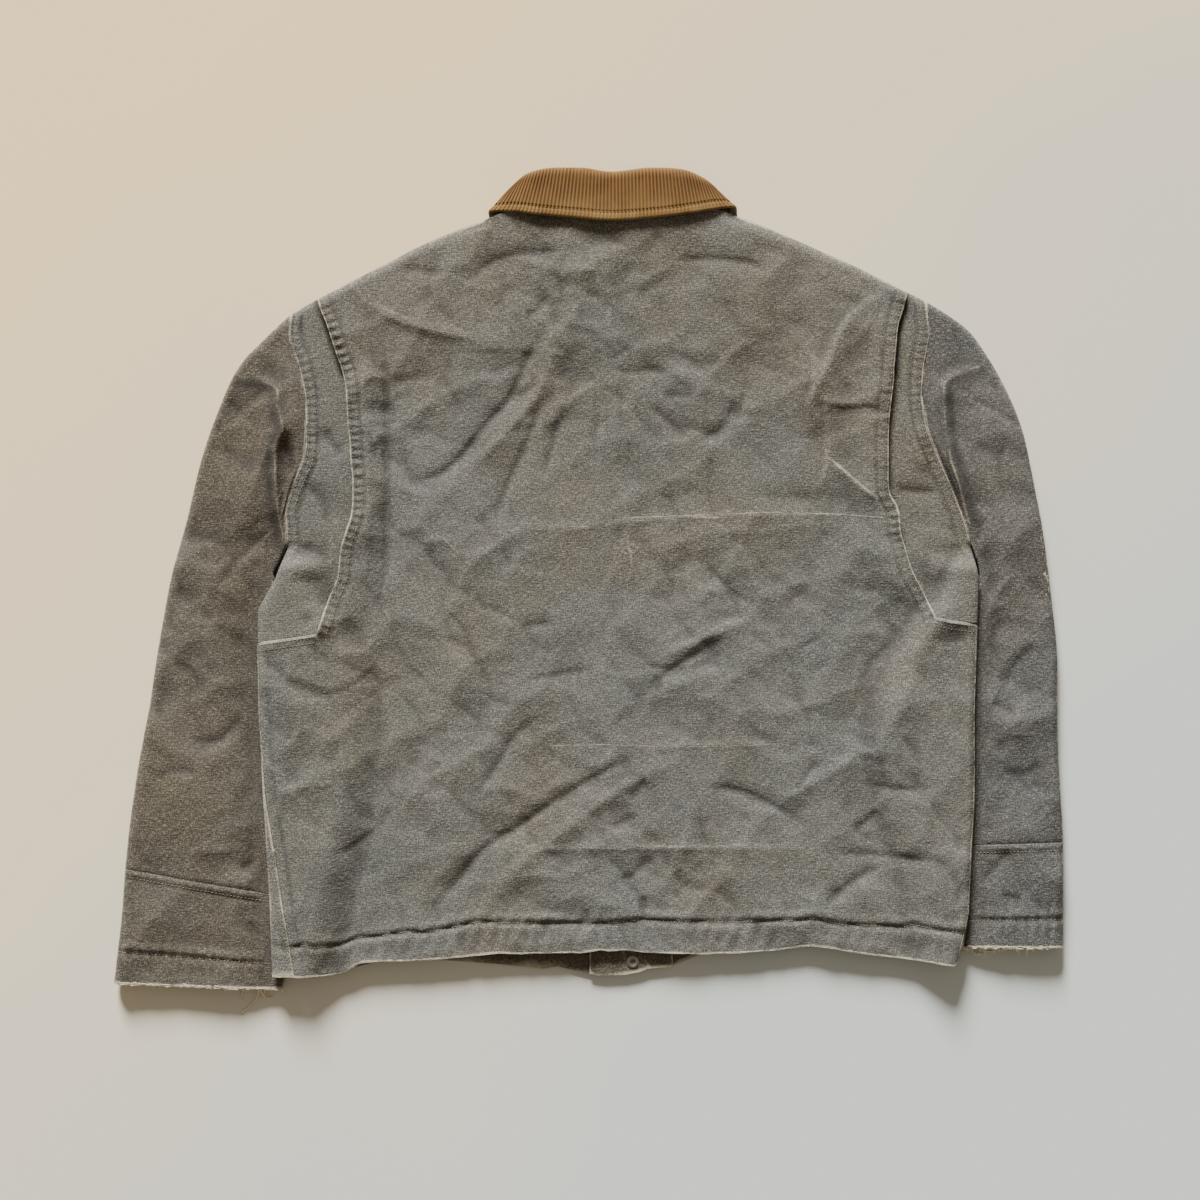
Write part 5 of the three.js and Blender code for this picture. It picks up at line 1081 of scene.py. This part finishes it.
def sleeveHeight(side, x, y, at):
    # the flattened tube's whole thickness at a place
    look, lines, inward = sleeveLook, sleeveLines[side], inwardOf[side]
    fromBody = (sideEdge(side, np.minimum(y, layer["underarmY"])) - x) * inward
    own = layer["sleeveLow"] + layer["sleeveCrown"] * smooth((fromBody - 5) / 34)
    clear = np.maximum(smooth((fromBody - 3) / 14), smooth((y - layer["underarmY"] - 4) / 30))
    fine = folds(sleeveCreases, x, y) * clear * smooth(at / 0.4)
    fine = fine + 1.4 * crumple(x, y, look["crumple"][side]) * clear * smooth(at / 0.8)
    seam, seamSide, _ = pathDistance(lines["seam"], x, y)
    below = seam * np.where(seamSide * inward < 0, 1, -1)
    fine = fine + clear * (0.9 * hump(below - 4, 3.4) - 0.9 * hump(below - 0.6, 1.4)
                           - 0.8 * hump(below - 8.2, 1.3))
    fine = fine + 0.6 * pucker(lines["seam"], x, y, 8, 8.5, 90) * clear
    hem, hemSide, _ = pathDistance(lines["hem"], x, y)
    belowHem = hem * np.where(hemSide * inward < 0, 1, -1)
    fine = fine + clear * (-0.9 * hump(hem, 1.3) + 1.1 * hump(belowHem + 5, 4)
                           + 0.9 * smooth(belowHem / 5) + 0.8 * pucker(lines["hem"], x, y, 11, 9, 94))
    atArmhole = 2 * layer["wall"] + layer["gussetAir"] + folds(gussetCreases, x, y)
    return np.maximum(mix(atArmhole, own, smooth(at / 2.4)) + fine, look["least"])


def sleeveTube(name, side, first, last, step):
    look, lines, inward = sleeveLook, sleeveLines[side], inwardOf[side]
    count = int(round((last - first) * look["rowLength"] / step / coarse)) * coarse + 1
    over = spaced(look["length"], look["step"], ends=True) / look["length"]
    back = over[::-1][1:-1]
    isOver = np.concatenate([np.ones(len(over)), -np.ones(len(back))])[None, :]
    at, share = np.linspace(first, last, count)[:, None] + 0 * isOver, np.concatenate([over, back])[None, :]
    share = share + 0 * at
    x, y = sleevePlan(side, at, share)
    ends = sleeveEnds(side, at)
    length = np.hypot(ends[2] - ends[0], ends[3] - ends[1])
    half = sleeveHeight(side, x, y, at) / 2
    around = foldShape(np.minimum(share, 1 - share) * length)
    points = np.stack([x, y, half + half * around * isOver], axis=2)
    # where a sharp fold turns a normal over, the inner face is set straight in
    facing = gridNormals(points, True) * inward
    turned = (facing[..., 2] * isOver < 0.2) & (around > 0.8)
    facing[turned] = np.stack([0 * x, 0 * x, isOver + 0 * x], axis=2)[turned]
    flap = np.array(sleeveCreases[sleeveFlap[side]][4], float)  # the cloth folds over itself along here
    # worn lines along the tube's folds, the cuff and the armhole; the light line along the fold that lies over
    # itself is partly wear, partly a painted highlight
    edges = [(sleeveLine(side, (0, 13), 0, 40), 2.4, 0.32), (sleeveLine(side, (2, 13), 1, 40), 2.4, 0.3),
             (lines["cuff"], 2.4, 1), (armholeLine[side], 1.8, 0.5), (flap, 1.6, 0.4)]
    # painted shade in the seam and hem grooves, a painted shadow beside the fold, and painted shade beside the
    # body's edge, which lies over the sleeve
    beside = sideLine(side, -3, (-40, -122, -200, -300, -350))
    dark = [(lines["seam"] - [0, 0.6], 1.2, 0.7), (lines["seam"] - [0, 8.2], 1.1, 0.65),
            (lines["hem"], 1.15, 0.75), (offsetLine(flap, -6 * inward), 5.5, 0.95),
            (beside, 15, look["shade"][side])]
    teeth = pucker(lines["hem"] - [0, 8], x, y, 7, 9.5, 94)
    teeth = teeth + 0.6 * pucker(lines["seam"] - [0, 4], x, y, 5, 8.5, 90)
    wall = np.where(at >= look["hemAt"] - 0.02, look["hem"], look["thickness"])
    piece = clothShell(name + side.title(), points, [canvasSleeve[side]], wall, up=inward, closed=True,
                       attributes=wearAndShadeOf(half * 2, x, y, edges, 37, dark, teeth), facing=facing)
    node = ("sleeve_lower_" if first else "sleeve_") + side
    keepPiece(node, piece, gridArea(np.concatenate([points, points[:, :1]], axis=1)))


for side in inwardOf:
    sleeveTube("sleeve", side, 0, sleeveLook["seamAt"], 2.6)
    sleeveTube("sleeveLower", side, sleeveLook["seamAt"] + 0.008, sleeveLook["cuffAt"], 2.3)


# collar: a corduroy fall with raised wales, over a canvas under collar
collarLook = {"pitch": 3.2, "height": 0.8, "wall": 1.6, "depth": 7.6, "columnsPerWale": 6, "grooveIn": 7,
              "groove": 0.7, "roll": 8, "fallRows": 27, "rollRows": 13, "wingColumns": 30,
              "underWall": 1.2, "underReach": 12.5}


def collarPoint(across, reach, depth, stretch=0.0):
    # a place on the collar: across is the row number, reach goes from the roll to the free edge in
    # mm or, by stretch, in shares of the fall's length, and depth goes in under the roll
    across, reach, depth, stretch = np.broadcast_arrays(across, reach, depth, stretch)
    read = [rowCurve(fallRows, k, across) for k in range(7)]
    roll = np.stack(read[0:3], axis=-1)
    along = np.stack(read[3:6], axis=-1) - roll
    length = np.linalg.norm(along, axis=-1, keepdims=True)
    along = along / length
    turn = np.radians(read[6])
    out = np.stack([-np.sin(turn), 0 * turn, np.cos(turn)], axis=-1)
    points = roll + along * (reach[..., None] + stretch[..., None] * length) - out * depth[..., None]
    return points, length[..., 0]


def collar():
    look = collarLook
    fine = np.linspace(0, 16, 801)
    line = collarPoint(fine, 20.0, 0.0)[0]
    gone = np.concatenate([[0], np.cumsum(np.linalg.norm(np.diff(line, axis=0), axis=1))])
    lengthAt = lambda section: np.interp(section, fine, gone)
    first, last = lengthAt(3), lengthAt(13)
    wales = int(round((last - first) / look["pitch"]))
    at = np.concatenate([np.linspace(0, first, look["wingColumns"] + 1)[:-1],
                         np.linspace(first, last, wales * look["columnsPerWale"] + 1),
                         np.linspace(last, gone[-1], look["wingColumns"] + 1)[1:]])
    phase = (at - first) / look["pitch"] + 0.12 * noise(at, 0 * at, 22, 3)
    inWales = smooth((at - lengthAt(2.4)) / 9) * smooth((lengthAt(13.6) - at) / 9)
    ridge = (0.5 - 0.5 * np.cos(2 * np.pi * phase)) ** 0.7
    arc = np.linspace(0, np.pi, look["rollRows"])
    fall = np.linspace(0, 1, look["fallRows"] + 1)[1:]
    column = lambda onRoll, onFall: np.concatenate([onRoll, onFall])[:, None] + 0 * at
    depth = column(look["depth"] / 2 * (1 + np.cos(arc)), 0 * fall)
    reach = column(look["roll"] - look["roll"] * np.sin(arc), look["roll"] * (1 - fall))
    stretch = column(0 * arc, fall)
    points, length = collarPoint(np.interp(at, gone, fine), reach, depth, stretch)
    facing = gridNormals(points)
    px, py = points[..., 0], points[..., 1]
    # soft swells, the stitched groove near the free edge, and the wales
    toEdge = np.where(depth == 0, (1 - stretch) * (length - look["roll"]), 60)
    swell = 0.7 * noise(px, py, 34, 11) + 0.35 * noise(px, py, 15, 12)
    groove = -look["groove"] * hump(toEdge - look["grooveIn"], 1.1)
    tip = -1.1 * np.clip(1 - toEdge / 1.6, 0, 1) ** 2
    bald = 1 - 0.35 * smooth((noise(px + 3, py, 26, 15) - 0.2) / 0.4)
    ribs = look["height"] * (ridge - 0.5) * inWales * bald * smooth(toEdge / 1.5)
    raised = (swell * np.clip(reach / look["roll"], 0, 1) + groove) * inWales + ribs + tip
    wale = ridge * inWales + 0.5 * (1 - inWales) + 0 * toEdge
    worn = 0.9 * hump(toEdge, 2.2) + 0.5 * hump(reach, 4) + 0.35 * hump(toEdge - look["grooveIn"], 1.2)
    worn = np.clip(worn, 0, 1) * (0.75 + 0.4 * noise(px, py, 8, 19))
    uv = np.stack([at + 0 * toEdge, reach + stretch * length + depth], axis=2)
    piece = clothShell("corduroyCollar", points + facing * raised[..., None], [corduroy, canvasInside],
                       look["wall"], uv=uv, facing=facing,
                       attributes={"wale": np.clip(wale, 0, 1), "worn": np.clip(worn, 0, 1)})
    keepPiece("collar", piece, gridArea(points))
    # under collar, from inside the roll down to the neck seam
    across = np.linspace(0.15, 15.85, 181)[None, :] + np.zeros((13, 1))
    top = collarPoint(across, look["underReach"], look["depth"])[0]
    foot = np.stack([rowCurve(fallRows, k, across) for k in (7, 8, 9)], axis=-1)
    share = np.linspace(0, 1, 13)[:, None, None]
    under = mix(top, foot, share)
    under[..., 2] += 0.3 * np.sin(np.pi * share[..., 0]) * noise(under[..., 0], under[..., 1], 20, 21)
    piece = clothShell("underCollar", under, [canvasInside, canvasInside], look["underWall"], up=-1,
                       attributes={"worn": 0 * across, "soil": 0 * across})
    keepPiece("under_collar", piece, gridArea(under))


collar()


# sewing and wear, laid on the finished cloth
def surfaceOf(names):
    # a search tree over the faces of some pieces, to lay threads on them
    verts, faces = [], []
    for name in names:
        mesh = pieces[name].data
        co = np.empty(len(mesh.vertices) * 3, np.float32)
        mesh.vertices.foreach_get("co", co)
        mesh.calc_loop_triangles()
        tri = np.empty(len(mesh.loop_triangles) * 3, np.int32)
        mesh.loop_triangles.foreach_get("vertices", tri)
        faces.append(tri.reshape(-1, 3) + sum(len(v) for v in verts))
        verts.append(co.reshape(-1, 3))
    verts, faces = np.concatenate(verts).tolist(), np.concatenate(faces).tolist()
    return mathutils.bvhtree.BVHTree.FromPolygons(verts, faces)


topTree = surfaceOf([name for name in pieces if name != "placket"])


def drop(x, y):  # height of the uppermost cloth under each place; none where there is no cloth
    places = zip(np.ravel(x) / 1000, np.ravel(y) / 1000)
    hits = [topTree.ray_cast((a, b, 0.1), (0, 0, -1))[0] for a, b in places]
    return np.reshape([hit[2] * 1000 if hit else np.nan for hit in hits], np.shape(x))


def threads(name, strands, material, flat=1.0, sides=5):
    # strands: paths (n, k, 3) in mm and radii (n, k), which may shrink to nothing at the ends;
    # flat squeezes them against the cloth
    paths, radii = strands
    along = np.gradient(paths, axis=1)
    along /= np.maximum(np.linalg.norm(along, axis=2, keepdims=True), 1e-9)
    side = np.cross(along, [0, 0, 1])
    side /= np.maximum(np.linalg.norm(side, axis=2, keepdims=True), 1e-6)
    up = np.cross(side, along)
    angle = np.arange(sides) / sides * 2 * np.pi
    ring = (side[:, :, None] * np.cos(angle)[None, None, :, None]
            + up[:, :, None] * (np.sin(angle) * flat)[None, None, :, None])
    points = paths[:, :, None] + ring * np.maximum(radii, 0.02)[:, :, None, None]
    n, k = paths.shape[:2]
    i, j, m = np.meshgrid(np.arange(n), np.arange(k - 1), np.arange(sides), indexing="ij")
    at = lambda jj, mm: (i * k + jj) * sides + mm % sides
    quads = np.stack([at(j, m), at(j, m + 1), at(j + 1, m + 1), at(j + 1, m)], axis=-1).reshape(-1, 4)
    caps = (np.arange(n)[:, None] * k + np.array([[0, k - 1]])).reshape(-1, 1) * sides + np.arange(sides)
    caps = np.where(np.arange(2 * n)[:, None] % 2 == 0, caps[:, ::-1], caps)
    loops = np.concatenate([quads.ravel(), caps.ravel()])
    counts = np.concatenate([np.full(len(quads), 4), np.full(len(caps), sides)])
    piece = putMesh(name, points.reshape(-1, 3), loops, counts, [material], sharp=0)
    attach(piece, "root")
    print(name, "made,", n, "strands")
    return piece


def onCloth(paths, radii):  # the strands that lie on cloth all along
    found = ~np.isnan(paths).any(axis=(1, 2))
    return paths[found], radii[found]


def clearOfBody(strands):  # the strands on the sleeves that the body doesn't cover
    paths, radii = strands
    x, y = paths[:, paths.shape[1] // 2, :2].T
    shown = (x <= sideEdge("left", y) - 1) | (x >= sideEdge("right", y) + 1)
    return paths[shown], radii[shown]


stitchLook = {"pitch": 3.3, "length": 2.3, "radius": 0.27, "proud": 0.12, "uneven": 0.12}


def stitches(lines):
    # one stitch every pitch along each line, a little uneven
    look, paths = stitchLook, []
    for line in lines:
        line = np.asarray(line, float)
        count = int(lineLength(line) / look["pitch"])
        s = (np.arange(count)[:, None] + 0.5) * look["pitch"] + rng.normal(0, look["uneven"], (count, 1))
        s = s + np.array([-0.5, -0.34, 0, 0.34, 0.5]) * look["length"]
        xy = alongLine(line, s)
        xy[..., 0] += rng.normal(0, look["uneven"], (count, 1))
        z = drop(xy[..., 0], xy[..., 1])
        z = np.median(z, axis=1, keepdims=True) * 0.4 + z * 0.6
        paths.append(np.concatenate([xy, (z + look["proud"])[..., None]], axis=2))
    paths = onCloth(np.concatenate(paths), np.concatenate(paths))[0]
    return paths, np.array([0.1, 0.8, 1, 0.8, 0.1]) * look["radius"] * rng.uniform(0.8, 1.15, (len(paths), 1))


def collarRow(fromEdge):  # a line on the collar's fall at a distance from its free edge
    return collarPoint(np.linspace(3.2, 12.8, 240), -fromEdge, 0.0, 1.0)[0][:, :2]


shift = lambda line, dx, dy: np.asarray(line, float) + np.array([dx, dy])
seamLine = np.array([(float(sideEdge("left", v) + seamIn(v)), v)
                     for v in (-60, -122, -200, -250, -300, -330, -352)])
footLines = {"left": gussetFoot[:3], "right": gussetFoot[3:]}
bodyRows, sleeveRowsSewn = [outlines["hemStitch"]], []
for side, inward in inwardOf.items():
    bodyRows += [clipped(offsetLine(pleatLine[side], inward * by)) for by in (2.6, 8.6)]
    bodyRows += [offsetLine(armholeLine[side], inward * by) for by in (2.6, 8.2)]
    bodyRows += [shift(footLines[side], 0, -by) for by in (2.6, 8)]
    sleeveRowsSewn += [shift(sleeveLines[side]["seam"], 0, -by) for by in (1.6, 7.6)]
    sleeveRowsSewn += [sleeveLines[side]["hem"]]
bodyRows += [clipped(offsetLine(seamLine, by), -362, -205) for by in (-2.4, -8)]
bodyRows += [clipped(offsetLine(seamLine, 2.2), -362, -62)]
bodyStitches = threads("bodyStitches", stitches(bodyRows), stitchThread)
sleeveStitches = threads("sleeveStitches", clearOfBody(stitches(sleeveRowsSewn)), stitchThread)
collarStitches = threads("collarStitches", stitches([collarRow(by) for by in (7, 9.4)]), collarThread)


def dashes(lines, seed):
    # worn cream dashes where the cloth is folded over; lines: path, mm from one to the next, length,
    # half width, how uneven
    random = np.random.default_rng(seed)
    paths, radii = [], []
    for line, every, length, width, jitter in lines:
        line = np.asarray(line, float)
        whole = lineLength(line)
        count = max(1, int(whole / every))
        start = random.uniform(0, whole, (count, 1))
        size = length * random.uniform(0.4, 1.5, (count, 1))
        xy = alongLine(line, np.clip(start + size * np.linspace(-0.5, 0.5, 7), 0, whole))
        xy += random.normal(0, jitter, (count, 1, 2)) + random.normal(0, 0.12, (count, 7, 2))
        paths.append(np.concatenate([xy, drop(xy[..., 0], xy[..., 1])[..., None] + 0.02], axis=2))
        shape = np.sin(np.linspace(0.12, np.pi - 0.12, 7)) ** 0.6
        radii.append(shape * width * 0.75 * random.uniform(0.45, 1.25, (count, 1))
                     * random.uniform(0.7, 1.2, (count, 7)))
    return onCloth(np.concatenate(paths), np.concatenate(radii))


bodyWear, sleeveWear = [], []
for side, inward in inwardOf.items():
    bodyWear += [(clipped(offsetLine(pleatLine[side], inward * 0.5)), 3.2, 10, 0.5, 0.15),
                 (offsetLine(armholeLine[side], inward * 0.5), 3.4, 9, 0.42, 0.15),
                 (shift(footLines[side], 0, -0.8), 4.4, 7, 0.34, 0.2)]
    sleeveWear += [(sleeveLine(side, (0.1, 13), 0.006, 60), 11, 7, 0.3, 0.3),
                   (shift(sleeveLines[side]["cuff"], 0, 0.9), 1.3, 6, 1.0, 0.5)]
bodyWear += [(seamLine, 3, 9, 0.5, 0.2), (offsetLine(outlines["hemBack"], 0.9), 3, 8, 0.5, 0.25),
             (sideLine("right", 1.2, (-45, -122, -200, -250, -300, -345)), 4, 9, 0.45, 0.2),
             # thin worn lines across the back, where it was folded in store
             ([(28, 55), (90, 57), (160, 60), (230, 58), (272, 54)], 5, 11, 0.32, 0.2),
             ([(-40, -150), (20, -149), (90, -151), (150, -150)], 9, 9, 0.22, 0.3),
             ([(-130, -237), (-60, -240), (20, -243), (120, -240)], 11, 9, 0.22, 0.4)]
sleeveWear += [([(404, 54), (412, 0), (412, -16)], 3.5, 4, 0.7, 1.2)]  # rubbed through at the right elbow
bodyEdges = threads("wornBodyEdges", dashes(bodyWear, 51), creamCore, flat=0.3)
sleeveEdges = threads("wornSleeveEdges", clearOfBody(dashes(sleeveWear, 53)), creamCore, flat=0.3)


# cuffs: for each side how many short ends of yarn, the seed, and how they gather along the edge;
# yarns that lie along it; the least height, the height of the brim where no cloth is found, and the
# radius of the loose threads
frayLook = {"left": (90, 7, (1.3, 0.8)), "right": (80, 8, (0.8, 1.5)), "edgeYarns": 28, "least": 0.8,
            "brim": 8, "loose": 0.7}
looseThreads = {
    "left": [[(-311, -366, 8), (-312, -372, 2), (-314, -378, .4), (-313.5, -380, .4)],
             [(-297, -369, 8), (-299, -377, 2.5), (-304, -384, .8), (-314, -392, .7)],
             [(-297, -368, 8), (-293, -376, 2), (-290, -379, .8), (-286, -377, .7)]],
    "right": [[(350, -329, 8), (357, -336, 2), (366, -336, 1.5), (370, -331, 6)],
              [(342, -328, 8), (346, -335, 2), (351, -339, .8), (356, -338, .7)]]}


def frayedCuff(side):
    # short ends of yarn at the raw edge, runs of yarn that lie along it, and a few long loose threads
    count, seed, gather = frayLook[side]
    yarns, least = frayLook["edgeYarns"], frayLook["least"]
    random = np.random.default_rng(seed)
    line = sleeveLines[side]["cuff"]
    whole = lineLength(line)
    brim = lambda x, y: np.nan_to_num(drop(x, y + 2), nan=frayLook["brim"])  # the upper cloth at the cuff
    s = random.beta(*gather, count)
    start = alongLine(line, (s if side == "left" else 1 - s) * whole)
    size = random.gamma(2.2, 1.35, count)[:, None]
    angle = random.normal(-np.pi / 2, 0.55, count)[:, None]
    t = np.linspace(0, 1, 6)[None, :]
    x = start[:, :1] + size * t * np.cos(angle) + random.normal(0, 0.9, (count, 1)) * t * t
    y = start[:, 1:] + 0.8 + size * t * np.sin(angle)
    z = brim(start[:, :1], start[:, 1:]) - random.uniform(0.3, 2.6, (count, 1)) - 0.35 * size * t
    paths = [np.stack([x, y, np.maximum(z, least)], axis=2)]
    radii = [np.clip(1.1 - t, 0.35, 1) * random.uniform(0.34, 0.62, (count, 1))]
    s = random.uniform(0.02, 0.98, (yarns, 1)) * whole
    s = s + random.uniform(4, 11, (yarns, 1)) * np.linspace(-0.5, 0.5, 6)
    xy = alongLine(line, np.clip(s, 1, whole - 1)) + random.normal(0, 0.35, (yarns, 6, 2))
    paths.append(np.concatenate([xy, brim(xy[..., 0], xy[..., 1])[..., None] - 0.6], axis=2))
    radii.append(random.uniform(0.5, 0.85, (yarns, 1)) * np.array([0.3, 1, 1, 1, 1, 0.3]))
    for loose in looseThreads[side]:
        path = np.stack([rowCurve(loose, k, np.linspace(0, 3, 6)) for k in range(3)], axis=1)
        path[:, 2] = np.maximum(path[:, 2], least)  # they lie on the table, not in it
        paths.append(path[None])
        radii.append(np.full((1, 6), frayLook["loose"]))
    return threads("frayedCuff" + side.title(), (np.concatenate(paths), np.concatenate(radii)), rawEdge)


frayed = {side: frayedCuff(side) for side in inwardOf}

for node in [name for name in frame if name.startswith("stud_")]:
    frame[node].data.materials.clear()
    frame[node].data.materials.append(studMetal)


# floor and light
# the floor's two colours carry painted light: warm and bright to the left, cooler and darker to the right
stageLook = {"left": "#f8dda8", "right": "#c7cbc6", "turn": 52, "world": "#e8dccb", "worldStrength": 0.42,
             "keyPlace": (-0.5, 2.5, 1.02), "keyAngle": 18, "keyPower": 12.2, "reach": 1900, "under": 0.05}


def floorMaterial():
    # matt board, with painted light: warm and bright on the left, cooler and a little darker on the right
    material, tree, shader, add = newMaterial("paleBoard")
    place = add("TexCoord", {}, "Object")
    turned = add("VectorRotate", {"rotation_type": "Z_AXIS", "Vector": place,
                                  "Angle": math.radians(stageLook["turn"])})
    across = add("SeparateXYZ", {0: turned}, "X")
    across = add("MapRange", {"Value": across, "From Min": -0.6, "From Max": 0.6})
    mottle = add("TexNoise", {"Vector": place, "Scale": 2.2, "Detail": 2})
    across = add("Math", {"operation": "MULTIPLY_ADD", 0: mottle, 1: 0.35, 2: across})
    colour = add("ValToRGB", {0: across, "stops": [(0.2, stageLook["left"]), (1.0, stageLook["right"])]})
    tree.links.new(colour, shader.inputs["Base Color"])
    shader.inputs["Roughness"].default_value = 0.95
    shader.inputs["Specular IOR Level"].default_value = 0.15
    return material


corners = [(a * stageLook["reach"], b * stageLook["reach"], -stageLook["under"])
           for a, b in ((-1, -1), (1, -1), (1, 1), (-1, 1))]
floor = putMesh("floorBoard", np.array(corners), np.arange(4), np.array([4]), [floorMaterial()], sharp=0)
key = bpy.data.objects.new("softWindow", bpy.data.lights.new("softWindow", "SUN"))
key.data.angle = math.radians(stageLook["keyAngle"])
key.data.energy = stageLook["keyPower"]
key.location = stageLook["keyPlace"]
key.rotation_euler = mathutils.Vector(stageLook["keyPlace"]).to_track_quat("Z", "Y").to_euler()
bpy.context.scene.collection.objects.link(key)
world = bpy.data.worlds.new("paleRoom")
world.use_nodes = True
world.node_tree.nodes["Background"].inputs["Color"].default_value = linear(stageLook["world"])
world.node_tree.nodes["Background"].inputs["Strength"].default_value = stageLook["worldStrength"]
bpy.context.scene.world = world
print("floor and light set")
